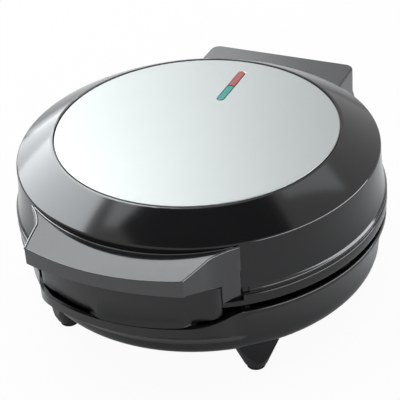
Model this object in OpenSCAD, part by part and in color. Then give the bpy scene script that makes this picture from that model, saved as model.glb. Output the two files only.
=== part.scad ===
// Round countertop pizzelle maker: a base with a patterned cooking plate, and a lid with
// its own plate, a steel disc and two signal lenses, joined by a hinge at the rear.
// Millimetres. +Z is up, -Y is the front (handle), +Y the rear (hinge).
// The origin is on the table, under the middle of the whole appliance.

/* [Body] */
// Radius of the bead round the lid's lower edge
body_r = 112; // [106:1:118]
// Wall of the moulded shells
wall = 2.5; // [2:0.1:3]
// Height of the feet below the base
foot_h = 20; // [16:1:26]
// Height of the base shell, from its flat underside to its rim
base_h = 34; // [31:1:42]
// Inward taper of the base wall from its rim to its lower edge
base_taper = 4.4; // [3:0.2:8]
// Radius of the rounding round the base's lower edge
base_round = 11; // [8:0.5:12]
// Height of the band that stands proud round the base rim
rim_band_h = 2.4; // [2:0.2:4]
// Open height between the base rim and the lower edge of the lid
waist_h = 13; // [12:0.5:16]
// Height of the lid's side wall, from its lower edge to its shoulder
lid_h = 31; // [29:0.2:38]
// Rise of the lid's top from its shoulder to the steel disc
crown_h = 11; // [8:0.2:13]
// Inset of the lid's shoulder from its bead
shoulder_inset = 3.6; // [2:0.1:5]

// Drop of the lid's flange below the bead
flange_h = 8.5; // [7:0.1:9]

/* [Steel disc] */
// Radius of the steel disc
disc_r = 84.5; // [78:0.5:90]
// Thickness of the steel disc
disc_t = 1.2; // [0.8:0.1:1.6]
// Width of the open groove round the disc
disc_groove = 1; // [0.6:0.1:1.6]

/* [Signal lenses] */
// Distance of the lens slot's middle from the body axis
lens_y = 53; // [45:1:60]
// Length of the lens slot, both lenses together
lens_len = 38; // [30:1:44]
// Width of the lens slot
lens_w = 4.8; // [4:0.2:7]

/* [Cooking plates] */
// Inset of the plates' edge from the lid's bead
plate_inset = 4; // [3.6:0.2:7]
// Thickness of one plate, from its back to its rim
plate_t = 4.5; // [4:0.1:6]
// Distance from the lid's lower edge down to where the plates meet
plate_drop = 3.6; // [3.4:0.1:4.2]
// Open gap between the closed plates' rims
plate_gap = 0.4; // [0.3:0.1:1]
// Radius of the patterned field
field_r = 92; // [84:1:96]
// Depth of the field below the plate's rim
field_depth = 2.2; // [1.6:0.1:2.6]
// Height of the pattern's ribs above the field
rib_h = 1.2; // [0.8:0.1:1.4]
// Width of the pattern's ribs
rib_w = 1.6; // [1.2:0.1:2]
// Number of petals in the pattern's rosette
petals = 16; // [12:2:20]

/* [Heating] */
// Radius of the ring that each heating element forms
heater_r = 74; // [70:1:78]
// Radius of the heating element's tube
heater_tube_r = 3.3; // [3:0.1:4]
// Radius of the circle on which the four mounting posts stand
post_ring_r = 58; // [50:1:62]
// Radius of a mounting post
post_r = 4; // [3.5:0.1:5]
// Thickness of the sheet-metal reflectors
reflector_t = 0.8; // [0.6:0.1:1.2]
// Distance from a plate's back to its reflector
reflector_drop = 11; // [9:0.5:13]

/* [Lid handle] */
// Reach of the handle in front of the lid's bead
handle_out = 21.2; // [19:0.2:29]
// Width of the handle between its front corners
handle_w = 95; // [84:1:104]
// Width of the handle's root beside the end of the lower handle
handle_cheek = 5; // [3:0.5:8]
// Radius of the handle's bowed front
handle_bow_r = 174; // [140:2:240]
// Height of the handle's front face, in its middle
handle_face_h = 8.2; // [7:0.2:11]
// Drop of the handle's top below the lid's shoulder, in its middle
handle_drop = 4.8; // [4:0.2:6.4]
// Radius of the shallow hollow across the handle's top
handle_dish_r = 600; // [500:20:900]
// Tilt of the handle's top, up towards its front
handle_tilt = 1.5; // [0:0.5:3]

/* [Base handle] */
// Reach of the lower handle in front of the lid's bead
block_out = 8; // [7:0.5:10]
// Width of the lower handle
block_w = 112; // [106:1:114]
// Radius of the lower handle's bowed front
block_bow_r = 99; // [94:1:104]
// Reach of the base's front lip in front of the lid's bead
lip_out = 11.5; // [11:0.5:14]
// Height of the front lip's edge
lip_h = 4.6; // [4:0.2:7]
// Reach of the pad that carries the lower handle, to the left of the middle
lip_pad_left = 16; // [14:1:40]
// Reach of the pad to the right of the middle
lip_pad_right = 45; // [14:1:46]

/* [Hinge] */
// Distance of the hinge axis behind the lid's bead
hinge_back = 12; // [12:0.5:15]
// Height of the hinge axis above the base rim
hinge_up = 7; // [6:0.5:8]
// Width of the hinge hood
hood_w = 101; // [94:1:110]
// Reach of the hinge hood behind the hinge axis
hood_out = 15.5; // [15:0.5:20]
// Drop of the hood's top below the lid's shoulder
hood_drop = 11; // [9:0.2:14]
// Radius of the hinge pins
pin_r = 2.5; // [2:0.1:3]
// Radius of the lid's hinge barrel
barrel_r = 8; // [7:0.5:8.5]
// Thickness of each of the base's hinge ears
ear_t = 8; // [6:0.5:10]

/* [Feet and cover] */
// Radius of a foot at the floor
foot_r = 7.4; // [5:0.5:8]
// Outward slope of a foot's flank
foot_slope = 21; // [15:1:24]
// Distance of the front feet from the appliance's middle line
front_foot_x = 61.5; // [56:0.5:66]
// Distance of the front feet in front of the body axis
front_foot_y = 70; // [64:1:72]
// Distance of the rear feet from the appliance's middle line
rear_foot_x = 34; // [28:1:38]
// Distance of the rear feet behind the body axis
rear_foot_y = 102; // [98:1:108]
// Thickness of the rubber pads under the feet
pad_t = 2; // [1.5:0.1:3]
// Radius of the bottom cover
cover_r = 74; // [70:1:76]
// Thickness of the bottom cover
cover_t = 3; // [2.8:0.1:3.4]

/* [Hidden] */

$fn = 96;

// Clearances
seat = 0.3;         // between a curved seat and the piece in it
snug = 0.15;        // round a spigot or a screw shank
fit = 0.05;         // running fit of the hinge pins, on the radius
eps = 0.01;         // overlap that joins the parts of one solid

// Heights
z_rim = foot_h + base_h;
z_bead = z_rim + waist_h;
z_flange = z_bead - flange_h;
z_shoulder = z_bead + lid_h;
z_disc = z_shoulder + crown_h;
z_split = z_bead - plate_drop;
z_deck = z_disc - disc_t - seat;
z_hinge = z_rim + hinge_up;

// Reaches from the body axis
handle_reach = body_r + handle_out;
y_hinge = body_r + hinge_back;
hood_reach = y_hinge + hood_out;
body_y = (handle_reach - hood_reach) / 2;

// Cooking plates
plate_r = body_r - plate_inset;
plate_edge_h = plate_drop - seat;
lower_back = z_split - plate_t;
upper_back = z_split + plate_t;

// Ledge in the base's floor, which the cover lies under and the lower plate stands on
ledge_z = foot_h + cover_t + snug;
ledge_top = ledge_z + wall;

// Screws
screw_r = 1.5;
screw_head_r = 3.2;
screw_head_h = 1.8;
screw_grip = 10;

// ---------- small helpers ----------

// Puts what follows on the body axis
module on_body() translate([0, body_y, 0]) children();

// Copies what follows to the four places at +-x, +-y
module four(x, y) {
    for (sx = [-1, 1], sy = [-1, 1])
        translate([sx * x, sy * y, 0])
            children();
}

// Copies what follows to both sides of the middle plane
module both_sides() {
    children();
    mirror([1, 0, 0]) children();
}

// Points on an arc about [cx, cy], from angle a to angle b in n steps
function arc(cx, cy, r, a, b, n) =
    [for (i = [0:n]) [cx + r * cos(a + (b - a) * i / n), cy + r * sin(a + (b - a) * i / n)]];

// Points on a curve from p to q that leaves towards c, without its first point
function bend(p, c, q, n) =
    [for (i = [1:n]) let (t = i / n) (1 - t) * (1 - t) * p + 2 * t * (1 - t) * c + t * t * q];

// The same points on the other side of the middle plane, in reverse order
function mirrored(pts) = [for (i = [len(pts) - 1:-1:0]) [-pts[i][0], pts[i][1]]];

// y of the front of a circle of radius r at x
function front_y(r, x) = -sqrt(r * r - x * x);

// A cylinder along X, from x0 to x1, about the hinge axis
module on_hinge(r, x0, x1)
    translate([x0, y_hinge, z_hinge])
        rotate([0, 90, 0])
            cylinder(r = r, h = x1 - x0);

// A screw that points down from its head's top at z = 0
module screw(length) {
    translate([0, 0, -screw_head_h])
        cylinder(r = screw_head_r, h = screw_head_h, $fn = 48);
    translate([0, 0, -length])
        cylinder(r = screw_r, h = length - screw_head_h + eps, $fn = 32);
}

// ---------- base ----------

base_rim_r = body_r - 0.3;
base_foot_r = base_rim_r - base_taper;
base_flat_r = base_foot_r - base_round;

// Outer line of the base wall, from the flat underside up to the rim
base_outer = concat(
    arc(base_flat_r, foot_h + base_round, base_round, -90, 0, 8),
    bend([base_foot_r, foot_h + base_round],
         [base_foot_r + base_taper * 0.16, foot_h + base_round + 0.4 * (base_h - base_round)],
         [base_rim_r - 0.5, z_rim - rim_band_h - 0.4], 12),
    [[base_rim_r, z_rim - rim_band_h]],
    arc(base_rim_r - 1, z_rim - 1, 1, 0, 90, 4)
);

// Half section of the base's bowl, with the ledge round its floor
module base_section()
    polygon(concat(
        [[cover_r + seat, foot_h]],
        base_outer,
        [[base_rim_r - wall, z_rim],
         [base_foot_r - wall, foot_h + base_round + 1]],
        arc(base_flat_r, foot_h + base_round, base_round - wall, 0, -90, 6),
        [[base_flat_r - 3, foot_h + wall],
         [cover_r + 4, foot_h + wall],
         [cover_r + 4, ledge_top],
         [post_ring_r - 7, ledge_top],
         [post_ring_r - 7, ledge_z],
         [cover_r + seat, ledge_z]]
    ));

// Outline of the front lip, grown inwards by inset
lip_bow_r = 114;
lip_root_x = 66;
lip_reach = body_r + lip_out;
lip_fall = 17;
function lip_side(inset) =
    let (bow = lip_bow_r - inset,
         cy = lip_bow_r - lip_reach,
         a = asin(44 / lip_bow_r),
         start = [bow * sin(a), cy - bow * cos(a)],
         hip = [58.6 - inset, front_y(base_rim_r, 58.6) - 5],
         root = [lip_root_x - inset, front_y(base_rim_r, lip_root_x) + 1])
    concat(
        bend(start, [53 - inset, cy - bow * cos(asin(52 / bow)) + 1], hip, 8),
        bend(hip, [61.5 - inset, front_y(base_rim_r, 61.5) - 1], root, 5)
    );
function lip_outline(inset) =
    let (a = asin(44 / lip_bow_r), side = lip_side(inset))
    concat(
        mirrored(side),
        arc(0, lip_bow_r - lip_reach, lip_bow_r - inset, -90 - a, -90 + a, 16),
        side
    );

// Lip that the base wall swells into under the lower handle
module front_lip()
    intersection() {
        translate([0, 0, z_rim - lip_h - lip_fall])
            linear_extrude(lip_h + lip_fall)
                polygon(lip_outline(0));
        rotate_extrude()
            polygon(concat(
                [[0, z_rim - lip_h - lip_fall],
                 [base_foot_r + 1, z_rim - lip_h - lip_fall]],
                bend([base_foot_r + 1, z_rim - lip_h - lip_fall],
                     [base_rim_r + 1, z_rim - lip_h - lip_fall / 2],
                     [lip_reach + 1, z_rim - lip_h], 12),
                arc(lip_reach, z_rim - 1, 1, 0, 90, 4),
                [[0, z_rim]]
            ));
    }

// Sunk channels in the lip, on both sides of the pad that carries the lower handle
module lip_channels()
    translate([0, 0, z_rim - lip_h + 1.2])
        linear_extrude(lip_h)
            difference() {
                polygon(lip_outline(2.2));
                circle(r = base_rim_r - wall - 1);
                translate([-lip_pad_left, -2 * body_r])
                    square([lip_pad_left + lip_pad_right, 2 * body_r]);
                translate([-2 * body_r, front_y(base_rim_r, 58)])
                    square([4 * body_r, 2 * body_r]);
            }

// Pedestal behind the base that carries the hinge ears
pedestal_w = hood_w - 2 * (wall + 1);
pedestal_reach = y_hinge;
pedestal_top = z_hinge - barrel_r - 2;
pedestal_bottom = foot_h + base_round - 0.5;
ear_x = pedestal_w / 2;
module pedestal_plan(inset)
    polygon(concat(
        [[ear_x - inset, base_foot_r - 22]],
        arc(ear_x - 5, pedestal_reach - 5, 5 - inset, 0, 90, 6),
        arc(-ear_x + 5, pedestal_reach - 5, 5 - inset, 90, 180, 6),
        [[-ear_x + inset, base_foot_r - 22]]
    ));

// Tongue under a hinge ear, and its slot when grown, on the +X side
ear_r = barrel_r + 2;
tongue_h = wall + 2;
module ear_tongue(grow)
    translate([ear_x - ear_t + 2 - grow, y_hinge - ear_r + 2 - grow,
               pedestal_top - tongue_h - grow])
        cube([ear_t - 5 + 2 * grow, 3.6 + 2 * grow, tongue_h + 2 * grow + seat]);

// Cord gland in the pedestal's rear face
gland_x = 24;
gland_r = 4.5;
gland_flange_r = gland_r + 1;
gland_bore_r = 3.3;
gland_z = pedestal_bottom + wall + gland_flange_r + seat;

module base_shell()
    color([0.09, 0.09, 0.1])
    on_body()
    difference() {
        union() {
            rotate_extrude()
                base_section();
            difference() {
                union() {
                    front_lip();
                    translate([0, 0, pedestal_bottom])
                        linear_extrude(pedestal_top - pedestal_bottom)
                            pedestal_plan(0);
                }
                // hollow of the bowl
                translate([0, 0, foot_h + base_round])
                    cylinder(r1 = base_foot_r - wall + 0.2, r2 = base_rim_r - wall + 0.2,
                             h = base_h - base_round + eps);
                // hollow of the pedestal
                translate([0, 0, pedestal_bottom + wall])
                    linear_extrude(pedestal_top - pedestal_bottom - 2 * wall)
                        pedestal_plan(wall);
            }
        }
        // slots for the tongues of the hinge ears
        both_sides() ear_tongue(snug);
        // way for the cord and the wires from the bowl into the pedestal
        translate([-ear_x + 12, base_foot_r - 14, pedestal_bottom + wall + 1])
            cube([2 * ear_x - 24, 20, pedestal_top - pedestal_bottom - 2 * wall - 2]);
        lip_channels();
        // gland hole
        translate([gland_x, pedestal_reach - 2 * wall, gland_z])
            rotate([-90, 0, 0])
                cylinder(r = gland_r + snug, h = 3 * wall);
        // spigot holes of the feet
        at_feet()
            translate([0, 0, foot_h - eps])
                cylinder(r = spigot_r + snug, h = base_round + wall + 1, $fn = 48);
        // holes of the cover's and the terminal block's screws through the ledge
        four(post_xy, post_xy)
            translate([0, 0, ledge_z - 1])
                cylinder(r = screw_r + snug, h = wall + 2, $fn = 32);
        for (sx = [-1, 1])
            translate([sx * terminal_screw_x, terminal_y + 7, ledge_z - 1])
                cylinder(r = screw_r + 0.02, h = wall + 2, $fn = 32);
        // screw holes of the lower handle
        for (sx = [-1, 1])
            translate([sx * handle_screw_x, block_mid_y, z_rim - lip_h - 20])
                cylinder(r = screw_r + snug, h = lip_h + 21, $fn = 32);
        for (sx = [-1, 1])
            translate([sx * handle_screw_x, block_mid_y, z_rim - lip_h - 20])
                cylinder(r = screw_head_r + 0.4, h = 20, $fn = 48);
    }

// Lower handle: a bowed block that stands on the lip, under the lid's handle
block_inner_r = body_r + 1;
block_reach = body_r + block_out;
block_mid_y = -(block_inner_r + block_reach) / 2;
handle_screw_x = 9;
block_corner = 5;
block_bottom = z_rim + 1.5;

// Underside of the lid handle's skirts: their height at y, and the block's top below it
skirt_front_y = -(handle_reach - 8.7);
skirt_front_z = z_shoulder - handle_drop - handle_face_h;
skirt_back_y = front_y(block_inner_r, block_w / 2);
skirt_back_z = skirt_front_z - 10.7;
block_gap = 1;

function block_side() =
    let (x = block_w / 2, cy = block_bow_r - block_reach,
         near_x = x - block_corner - 1,
         near = [near_x, cy - sqrt(block_bow_r * block_bow_r - near_x * near_x)])
    concat(
        [near],
        bend(near, [x, near[1] + 2.6], [x, near[1] + block_corner + 4.6], 6),
        [[x, front_y(block_inner_r, x) + 2]]
    );

module block_plan()
    difference() {
        polygon(concat(
            mirrored(block_side()),
            arc(0, block_bow_r - block_reach, block_bow_r,
                -90 - asin((block_w / 2 - block_corner - 1) / block_bow_r) + 2,
                -90 + asin((block_w / 2 - block_corner - 1) / block_bow_r) - 2, 20),
            block_side()
        ));
        circle(r = block_inner_r);
    }

// Everything below the block's sloping top
module below_block_top()
    rotate([90, 0, 90])
        translate([0, 0, -body_r])
            linear_extrude(2 * body_r)
                polygon([
                    [skirt_front_y - 20, z_rim - 1],
                    [skirt_front_y - 20,
                     skirt_front_z - block_gap + 20 * (skirt_front_z - skirt_back_z)
                         / (skirt_back_y - skirt_front_y)],
                    [skirt_back_y, skirt_back_z - block_gap],
                    [skirt_back_y + 8, skirt_back_z - block_gap],
                    [skirt_back_y + 8, z_rim - 1]
                ]);

module base_handle()
    color([0.1, 0.1, 0.11])
    on_body()
    difference() {
        union() {
            intersection() {
                translate([0, 0, block_bottom])
                    linear_extrude(z_shoulder - block_bottom)
                        block_plan();
                below_block_top();
            }
            // foot that stands on the pad of the lip
            intersection() {
                translate([0, 0, z_rim])
                    linear_extrude(block_bottom - z_rim + eps)
                        block_plan();
                translate([-lip_pad_left, -2 * body_r, z_rim])
                    cube([lip_pad_left + lip_pad_right, 2 * body_r, 5]);
            }
        }
        for (sx = [-1, 1])
            translate([sx * handle_screw_x, block_mid_y, z_rim - 1])
                cylinder(r = screw_r + 0.02, h = screw_grip + 1.5, $fn = 32);
    }

// Screws that hold the lower handle, put in from below the lip
module base_handle_screws()
    color([0.6, 0.6, 0.62])
    on_body()
    for (sx = [-1, 1])
        translate([sx * handle_screw_x, block_mid_y, z_rim - lip_h - screw_head_h])
            rotate([180, 0, 0])
                screw(lip_h + screw_head_h + screw_grip - 1);

module base_cover()
    color([0.12, 0.12, 0.12])
    on_body()
    difference() {
        translate([0, 0, foot_h])
            cylinder(r = cover_r, h = cover_t);
        four(post_xy, post_xy) {
            translate([0, 0, foot_h - 1])
                cylinder(r = screw_r + snug, h = cover_t + 2, $fn = 32);
            translate([0, 0, foot_h - 1])
                cylinder(r = screw_head_r + 0.4, h = screw_head_h + 1.2, $fn = 48);
        }
        // vent slots in two fans
        for (side = [0, 180], i = [-4:4])
            rotate([0, 0, side + i * 8])
                translate([22, -1.5, foot_h - 1])
                    cube([22, 3, cover_t + 2]);
    }

post_xy = post_ring_r * sqrt(0.5);

module cover_screws()
    color([0.6, 0.6, 0.62])
    on_body()
    four(post_xy, post_xy)
        translate([0, 0, foot_h + 0.2])
            rotate([180, 0, 0])
                screw(cover_t + wall + screw_grip - 1);

// Copies what follows to the four feet
module at_feet() {
    for (sx = [-1, 1]) {
        translate([sx * front_foot_x, -front_foot_y, 0]) children();
        translate([sx * rear_foot_x, rear_foot_y, 0]) children();
    }
}

// Feet: cones that widen up to the base's rounded lower edge, with spigots into its floor
foot_cone_h = pedestal_bottom - pad_t - snug;
spigot_r = 3;
foot_round = 2.5;
module feet()
    color([0.07, 0.07, 0.08])
    on_body() {
        difference() {
            at_feet()
                rotate_extrude($fn = 64)
                    polygon(concat(
                        [[0, pad_t]],
                        arc(foot_r - foot_round, pad_t + foot_round, foot_round, -90, -foot_slope, 5),
                        [[foot_r + foot_cone_h * tan(foot_slope), pad_t + foot_cone_h],
                         [0, pad_t + foot_cone_h]]
                    ));
            rotate_extrude()
                polygon(concat(
                    [[0, foot_h - snug]],
                    arc(base_flat_r, foot_h + base_round, base_round + snug, -90, 0, 8),
                    [[base_foot_r + snug, foot_h + 2 * base_round],
                     [0, foot_h + 2 * base_round]]
                ));
            // what would stand out in front of the rounding
            difference() {
                translate([-2 * body_r, -2 * body_r, -1])
                    cube([4 * body_r, 2 * body_r, foot_h + 2 * base_round]);
                translate([0, 0, -2])
                    cylinder(r = base_flat_r + base_round / 2, h = foot_h + 2 * base_round + 2);
            }
        }
        at_feet()
            translate([0, 0, pad_t + 1])
                cylinder(r = spigot_r, h = foot_h + base_round - pad_t, $fn = 48);
    }

module foot_pads()
    color([0.04, 0.04, 0.04])
    on_body()
    at_feet()
        cylinder(r = foot_r - foot_round + 0.6, h = pad_t, $fn = 64);

// ---------- cooking plates ----------

// Pattern of ribs, a rosette of petals in a lattice border, drawn flat
petal_r = field_r * 0.62;
module petal_ring(reach, half_angle, copies, turn)
    for (i = [0:copies - 1])
        rotate([0, 0, turn + i * 360 / copies])
            difference() {
                leaf(reach, half_angle, 0);
                leaf(reach, half_angle, rib_w);
            }

// Pointed leaf from near the centre to reach, its half angle at the tip given; shrunk by inset
module leaf(reach, half_angle, inset) {
    half = (reach - 8) / 2;
    r = half / sin(half_angle);
    off = r * cos(half_angle);
    intersection() {
        translate([8 + half, off]) circle(r = r - inset);
        translate([8 + half, -off]) circle(r = r - inset);
    }
}

module ring(r, w)
    difference() {
        circle(r = r);
        circle(r = r - w);
    }

module rib_pattern()
    union() {
        circle(r = 6);
        ring(10.5, rib_w);
        petal_ring(petal_r + rib_w / 2, 22, petals / 2, 0);
        petal_ring(petal_r * 0.75, 16, petals / 2, 360 / petals);
        ring(petal_r + rib_w, rib_w);
        // border of crossed bars between two rings
        difference() {
            union() {
                for (i = [0:2 * petals - 1], lean = [-34, 34])
                    rotate([0, 0, i * 360 / (2 * petals)])
                        translate([(petal_r + field_r) / 2, 0])
                            rotate([0, 0, lean])
                                square([field_r - petal_r + 8, rib_w * 0.8], center = true);
            }
            circle(r = petal_r + rib_w / 2);
            difference() {
                circle(r = field_r + 20);
                circle(r = field_r - 5);
            }
        }
        ring(field_r - 4, rib_w);
    }

// One cooking plate, its back at z = 0 and its rim at the top, with posts of the given length
module cooking_plate(post_length) {
    rim_z = plate_t - plate_gap / 2;
    floor_z = rim_z - field_depth;
    edge_z = plate_t - plate_edge_h;
    difference() {
        rotate_extrude()
            polygon([
                [0, 0], [plate_r - 6, 0], [plate_r - 5, edge_z], [plate_r - 0.4, edge_z],
                [plate_r, edge_z + 0.4], [plate_r, edge_z + 0.9],
                [plate_r - 0.7, edge_z + 1.2], [plate_r, edge_z + 1.5],
                [plate_r, rim_z - 0.4], [plate_r - 0.4, rim_z],
                [field_r + 2.5, rim_z], [field_r, floor_z], [0, floor_z]
            ]);
        // drip groove round the field
        rotate_extrude()
            polygon([
                [field_r + 5, rim_z + 1], [field_r + 5, rim_z - 1],
                [field_r + 6, rim_z - 1.6], [field_r + 7.4, rim_z - 1.6],
                [field_r + 8.4, rim_z - 1], [field_r + 8.4, rim_z + 1]
            ]);
        // bores of the clip screws
        for (place = clip_places)
            translate([place[0], place[1], -5])
                cylinder(r = clip_screw_r + 0.02, h = 5.8, $fn = 32);
    }
    translate([0, 0, floor_z - eps])
        linear_extrude(rib_h + eps)
            rib_pattern();
    // ridges rolled over the heating element
    difference() {
        rotate_extrude()
            difference() {
                translate([heater_r - heater_tube_r - 2.2, -heater_tube_r - 2.4])
                    square([2 * heater_tube_r + 4.4, heater_tube_r + 2.4 + eps]);
                translate([heater_r, -heater_tube_r - snug])
                    circle(r = heater_tube_r + snug, $fn = 48);
            }
        translate([-heater_gap_x - 6, heater_r - 14, -heater_tube_r - 4])
            cube([2 * heater_gap_x + 12, 30, heater_tube_r + 4]);
    }
    // mounting posts, with a shoulder for the reflector
    difference() {
        four(post_xy, post_xy) {
            translate([0, 0, -post_length])
                cylinder(r = post_r, h = post_length + eps, $fn = 64);
            translate([0, 0, -reflector_drop])
                cylinder(r = post_r + 2, h = reflector_drop + eps, $fn = 64);
        }
        four(post_xy, post_xy)
            translate([0, 0, -post_length - 1])
                cylinder(r = screw_r + 0.02, h = screw_grip + 1, $fn = 32);
    }
}

// Round bosses under the lower plate that the clip screws go into
clip_places = [[-12, 0], [12, 0], [9, 41]];
clip_screw_r = 1.2;
clip_boss_h = 3;
module clip_bosses()
    difference() {
        for (place = clip_places)
            translate([place[0], place[1], -clip_boss_h])
                cylinder(r = 2.8, h = clip_boss_h + eps, $fn = 48);
        for (place = clip_places)
            translate([place[0], place[1], -5])
                cylinder(r = clip_screw_r + 0.02, h = 5.8, $fn = 32);
    }

heater_gap_x = 14;
lower_post_length = lower_back - ledge_top;
upper_post_length = z_deck - wall - upper_back;

module lower_cooking_plate()
    color([0.24, 0.24, 0.25])
    on_body()
    translate([0, 0, lower_back]) {
        cooking_plate(lower_post_length);
        clip_bosses();
    }

module upper_cooking_plate()
    color([0.24, 0.24, 0.25])
    on_body()
    translate([0, 0, upper_back])
        mirror([0, 0, 1])
            cooking_plate(upper_post_length);

// ---------- heating ----------

// Tubular element below z = 0: an open ring whose ends stand in sleeves with terminals
heater_end = asin(heater_gap_x / heater_r);
sleeve_r = heater_tube_r + 0.6;
module heating_element()
    translate([0, 0, -heater_tube_r - snug]) {
        rotate([0, 0, 90 + heater_end])
            rotate_extrude(angle = 360 - 2 * heater_end)
                translate([heater_r, 0])
                    circle(r = heater_tube_r, $fn = 48);
        for (sx = [-1, 1])
            translate([sx * heater_gap_x, heater_r * cos(heater_end), 0]) {
                translate([0, 0, -13])
                    cylinder(r = sleeve_r, h = 13 + heater_tube_r - 0.4, $fn = 48);
                translate([0, 0, -19])
                    cylinder(r = 1.2, h = 8, $fn = 32);
            }
    }

module lower_heating_element()
    color([0.45, 0.42, 0.4])
    on_body()
    translate([0, 0, lower_back])
        heating_element();

module upper_heating_element()
    color([0.45, 0.42, 0.4])
    on_body()
    translate([0, 0, upper_back])
        mirror([0, 0, 1])
            heating_element();

// Sheet-metal dish that hangs on the posts' shoulders and throws the heat back
reflector_r = 92;
module reflector(clear_r)
    difference() {
        translate([0, 0, -reflector_drop])
            rotate_extrude()
                polygon([
                    [0, -reflector_t], [reflector_r - 6, -reflector_t],
                    [reflector_r, 5], [reflector_r - reflector_t, 5],
                    [reflector_r - 6 - reflector_t / 2, 0], [0, 0]
                ]);
        four(post_xy, post_xy)
            translate([0, 0, -reflector_drop - 2])
                cylinder(r = post_r + snug, h = 4, $fn = 64);
        both_sides()
            translate([heater_gap_x, heater_r * cos(heater_end), -reflector_drop - 2])
                cylinder(r = sleeve_r + 1, h = 4, $fn = 48);
        translate([0, 0, -reflector_drop - 2])
            cylinder(r = clear_r, h = 4);
    }

thermostat_r = 9;
module lower_reflector()
    color([0.75, 0.76, 0.78])
    on_body()
    translate([0, 0, lower_back])
        reflector(fuse_y + 14);

module upper_reflector()
    color([0.75, 0.76, 0.78])
    on_body()
    translate([0, 0, upper_back])
        mirror([0, 0, 1])
            reflector(4);

// Tubes on the posts that clamp each reflector against the posts' shoulders
module spacers(length)
    four(post_xy, post_xy)
        translate([0, 0, -reflector_drop - reflector_t - length])
            difference() {
                cylinder(r = post_r + 1.4, h = length, $fn = 64);
                translate([0, 0, -1])
                    cylinder(r = post_r + snug, h = length + 2, $fn = 64);
            }

module lower_spacers()
    color([0.7, 0.71, 0.73])
    on_body()
    translate([0, 0, lower_back])
        spacers(lower_post_length - reflector_drop - reflector_t - 0.1);

module upper_spacers()
    color([0.7, 0.71, 0.73])
    on_body()
    translate([0, 0, upper_back])
        mirror([0, 0, 1])
            spacers(upper_post_length - reflector_drop - reflector_t - 0.1);

// Bimetal thermostat, strapped to the back of the lower plate
strap_t = 1.2;
module thermostat()
    color([0.85, 0.82, 0.74])
    on_body()
    translate([0, 0, lower_back]) {
        translate([0, 0, -clip_boss_h - eps])
            cylinder(r = thermostat_r - 1, h = clip_boss_h - 0.1);
        translate([0, 0, -12])
            cylinder(r = thermostat_r, h = 12 - clip_boss_h);
        for (sx = [-1, 1])
            translate([sx * 5 - 0.4, -3, -18])
                cube([0.8, 6, 7]);
        difference() {
            translate([-15, -4, -clip_boss_h - strap_t])
                cube([30, 8, strap_t]);
            for (sx = [-1, 1])
                translate([sx * 12, 0, -clip_boss_h - 3])
                    cylinder(r = clip_screw_r + snug, h = 6, $fn = 32);
        }
    }

// Thermal fuse in its sleeve, with its two wires
fuse_y = 32;
fuse_r = 3;
module thermal_fuse()
    color([0.9, 0.9, 0.86])
    on_body()
    translate([0, fuse_y, lower_back - fuse_r - 0.1])
        rotate([0, 90, 0]) {
            translate([0, 0, -9])
                cylinder(r = fuse_r, h = 18, $fn = 48);
            for (end = [-16, 8])
                translate([0, 0, end])
                    cylinder(r = 0.6, h = 8, $fn = 24);
        }

// Clip that holds the fuse up against the plate
module fuse_clip()
    color([0.72, 0.73, 0.75])
    on_body()
    translate([0, fuse_y, lower_back]) {
        translate([-3, 0, -fuse_r - 0.1])
            rotate([0, 90, 0])
                difference() {
                    cylinder(r = fuse_r + 1, h = 12 + 3, $fn = 64);
                    translate([0, 0, -1])
                        cylinder(r = fuse_r + 0.1, h = 20, $fn = 64);
                    translate([-fuse_r - 5, -10, -1])
                        cube([fuse_r + 5, 20, 20]);
                }
        difference() {
            translate([-3, fuse_r + 0.1, -clip_boss_h - 1])
                cube([15, 10, 1]);
            translate([9, 9, -10])
                cylinder(r = clip_screw_r + snug, h = 20, $fn = 32);
        }
    }

// Small screws of the thermostat's strap and the fuse's clip
module clip_screws()
    color([0.6, 0.6, 0.62])
    on_body()
    for (i = [0:2])
        translate([clip_places[i][0], clip_places[i][1],
                   lower_back - clip_boss_h - (i < 2 ? strap_t : 1)]) {
            translate([0, 0, -1.2])
                cylinder(r = 2.2, h = 1.2, $fn = 40);
            translate([0, 0, -eps])
                cylinder(r = clip_screw_r, h = 4, $fn = 32);
        }

// Terminal block on the base's ledge
terminal_y = 53;
terminal_screw_x = 20;
module terminal_block()
    color([0.9, 0.9, 0.88])
    on_body()
    translate([-17, terminal_y, ledge_top])
        difference() {
            union() {
                translate([-7, 0, 0])
                    cube([48, 14, 4]);
                for (i = [0:2])
                    translate([1 + i * 11, 2, 0])
                        cube([10, 10, 13]);
            }
            for (i = [0:2]) {
                translate([6 + i * 11, -1, 6])
                    rotate([-90, 0, 0])
                        cylinder(r = 2, h = 20, $fn = 32);
                translate([6 + i * 11, 7, 8])
                    cylinder(r = 1.8, h = 8, $fn = 32);
            }
            for (sx = [-1, 1])
                translate([17 + sx * terminal_screw_x, 7, -1])
                    cylinder(r = screw_r + snug, h = 8, $fn = 32);
        }

module terminal_screws()
    color([0.6, 0.6, 0.62])
    on_body()
    for (sx = [-1, 1])
        translate([sx * terminal_screw_x, terminal_y + 7, ledge_top + 4 + screw_head_h])
            screw(screw_head_h + 4 + wall - 0.4);

// Gland through which the cord enters the pedestal
module cord_gland()
    color([0.05, 0.05, 0.05])
    on_body()
    translate([gland_x, pedestal_reach - wall - 3, gland_z])
        rotate([-90, 0, 0])
            difference() {
                union() {
                    cylinder(r = gland_r, h = wall + 3);
                    translate([0, 0, wall + 3])
                        cylinder(r = gland_flange_r, h = 2);
                    cylinder(r = gland_flange_r, h = 3 - seat);
                }
                translate([0, 0, -1])
                    cylinder(r = gland_bore_r, h = wall + 10);
            }

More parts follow.
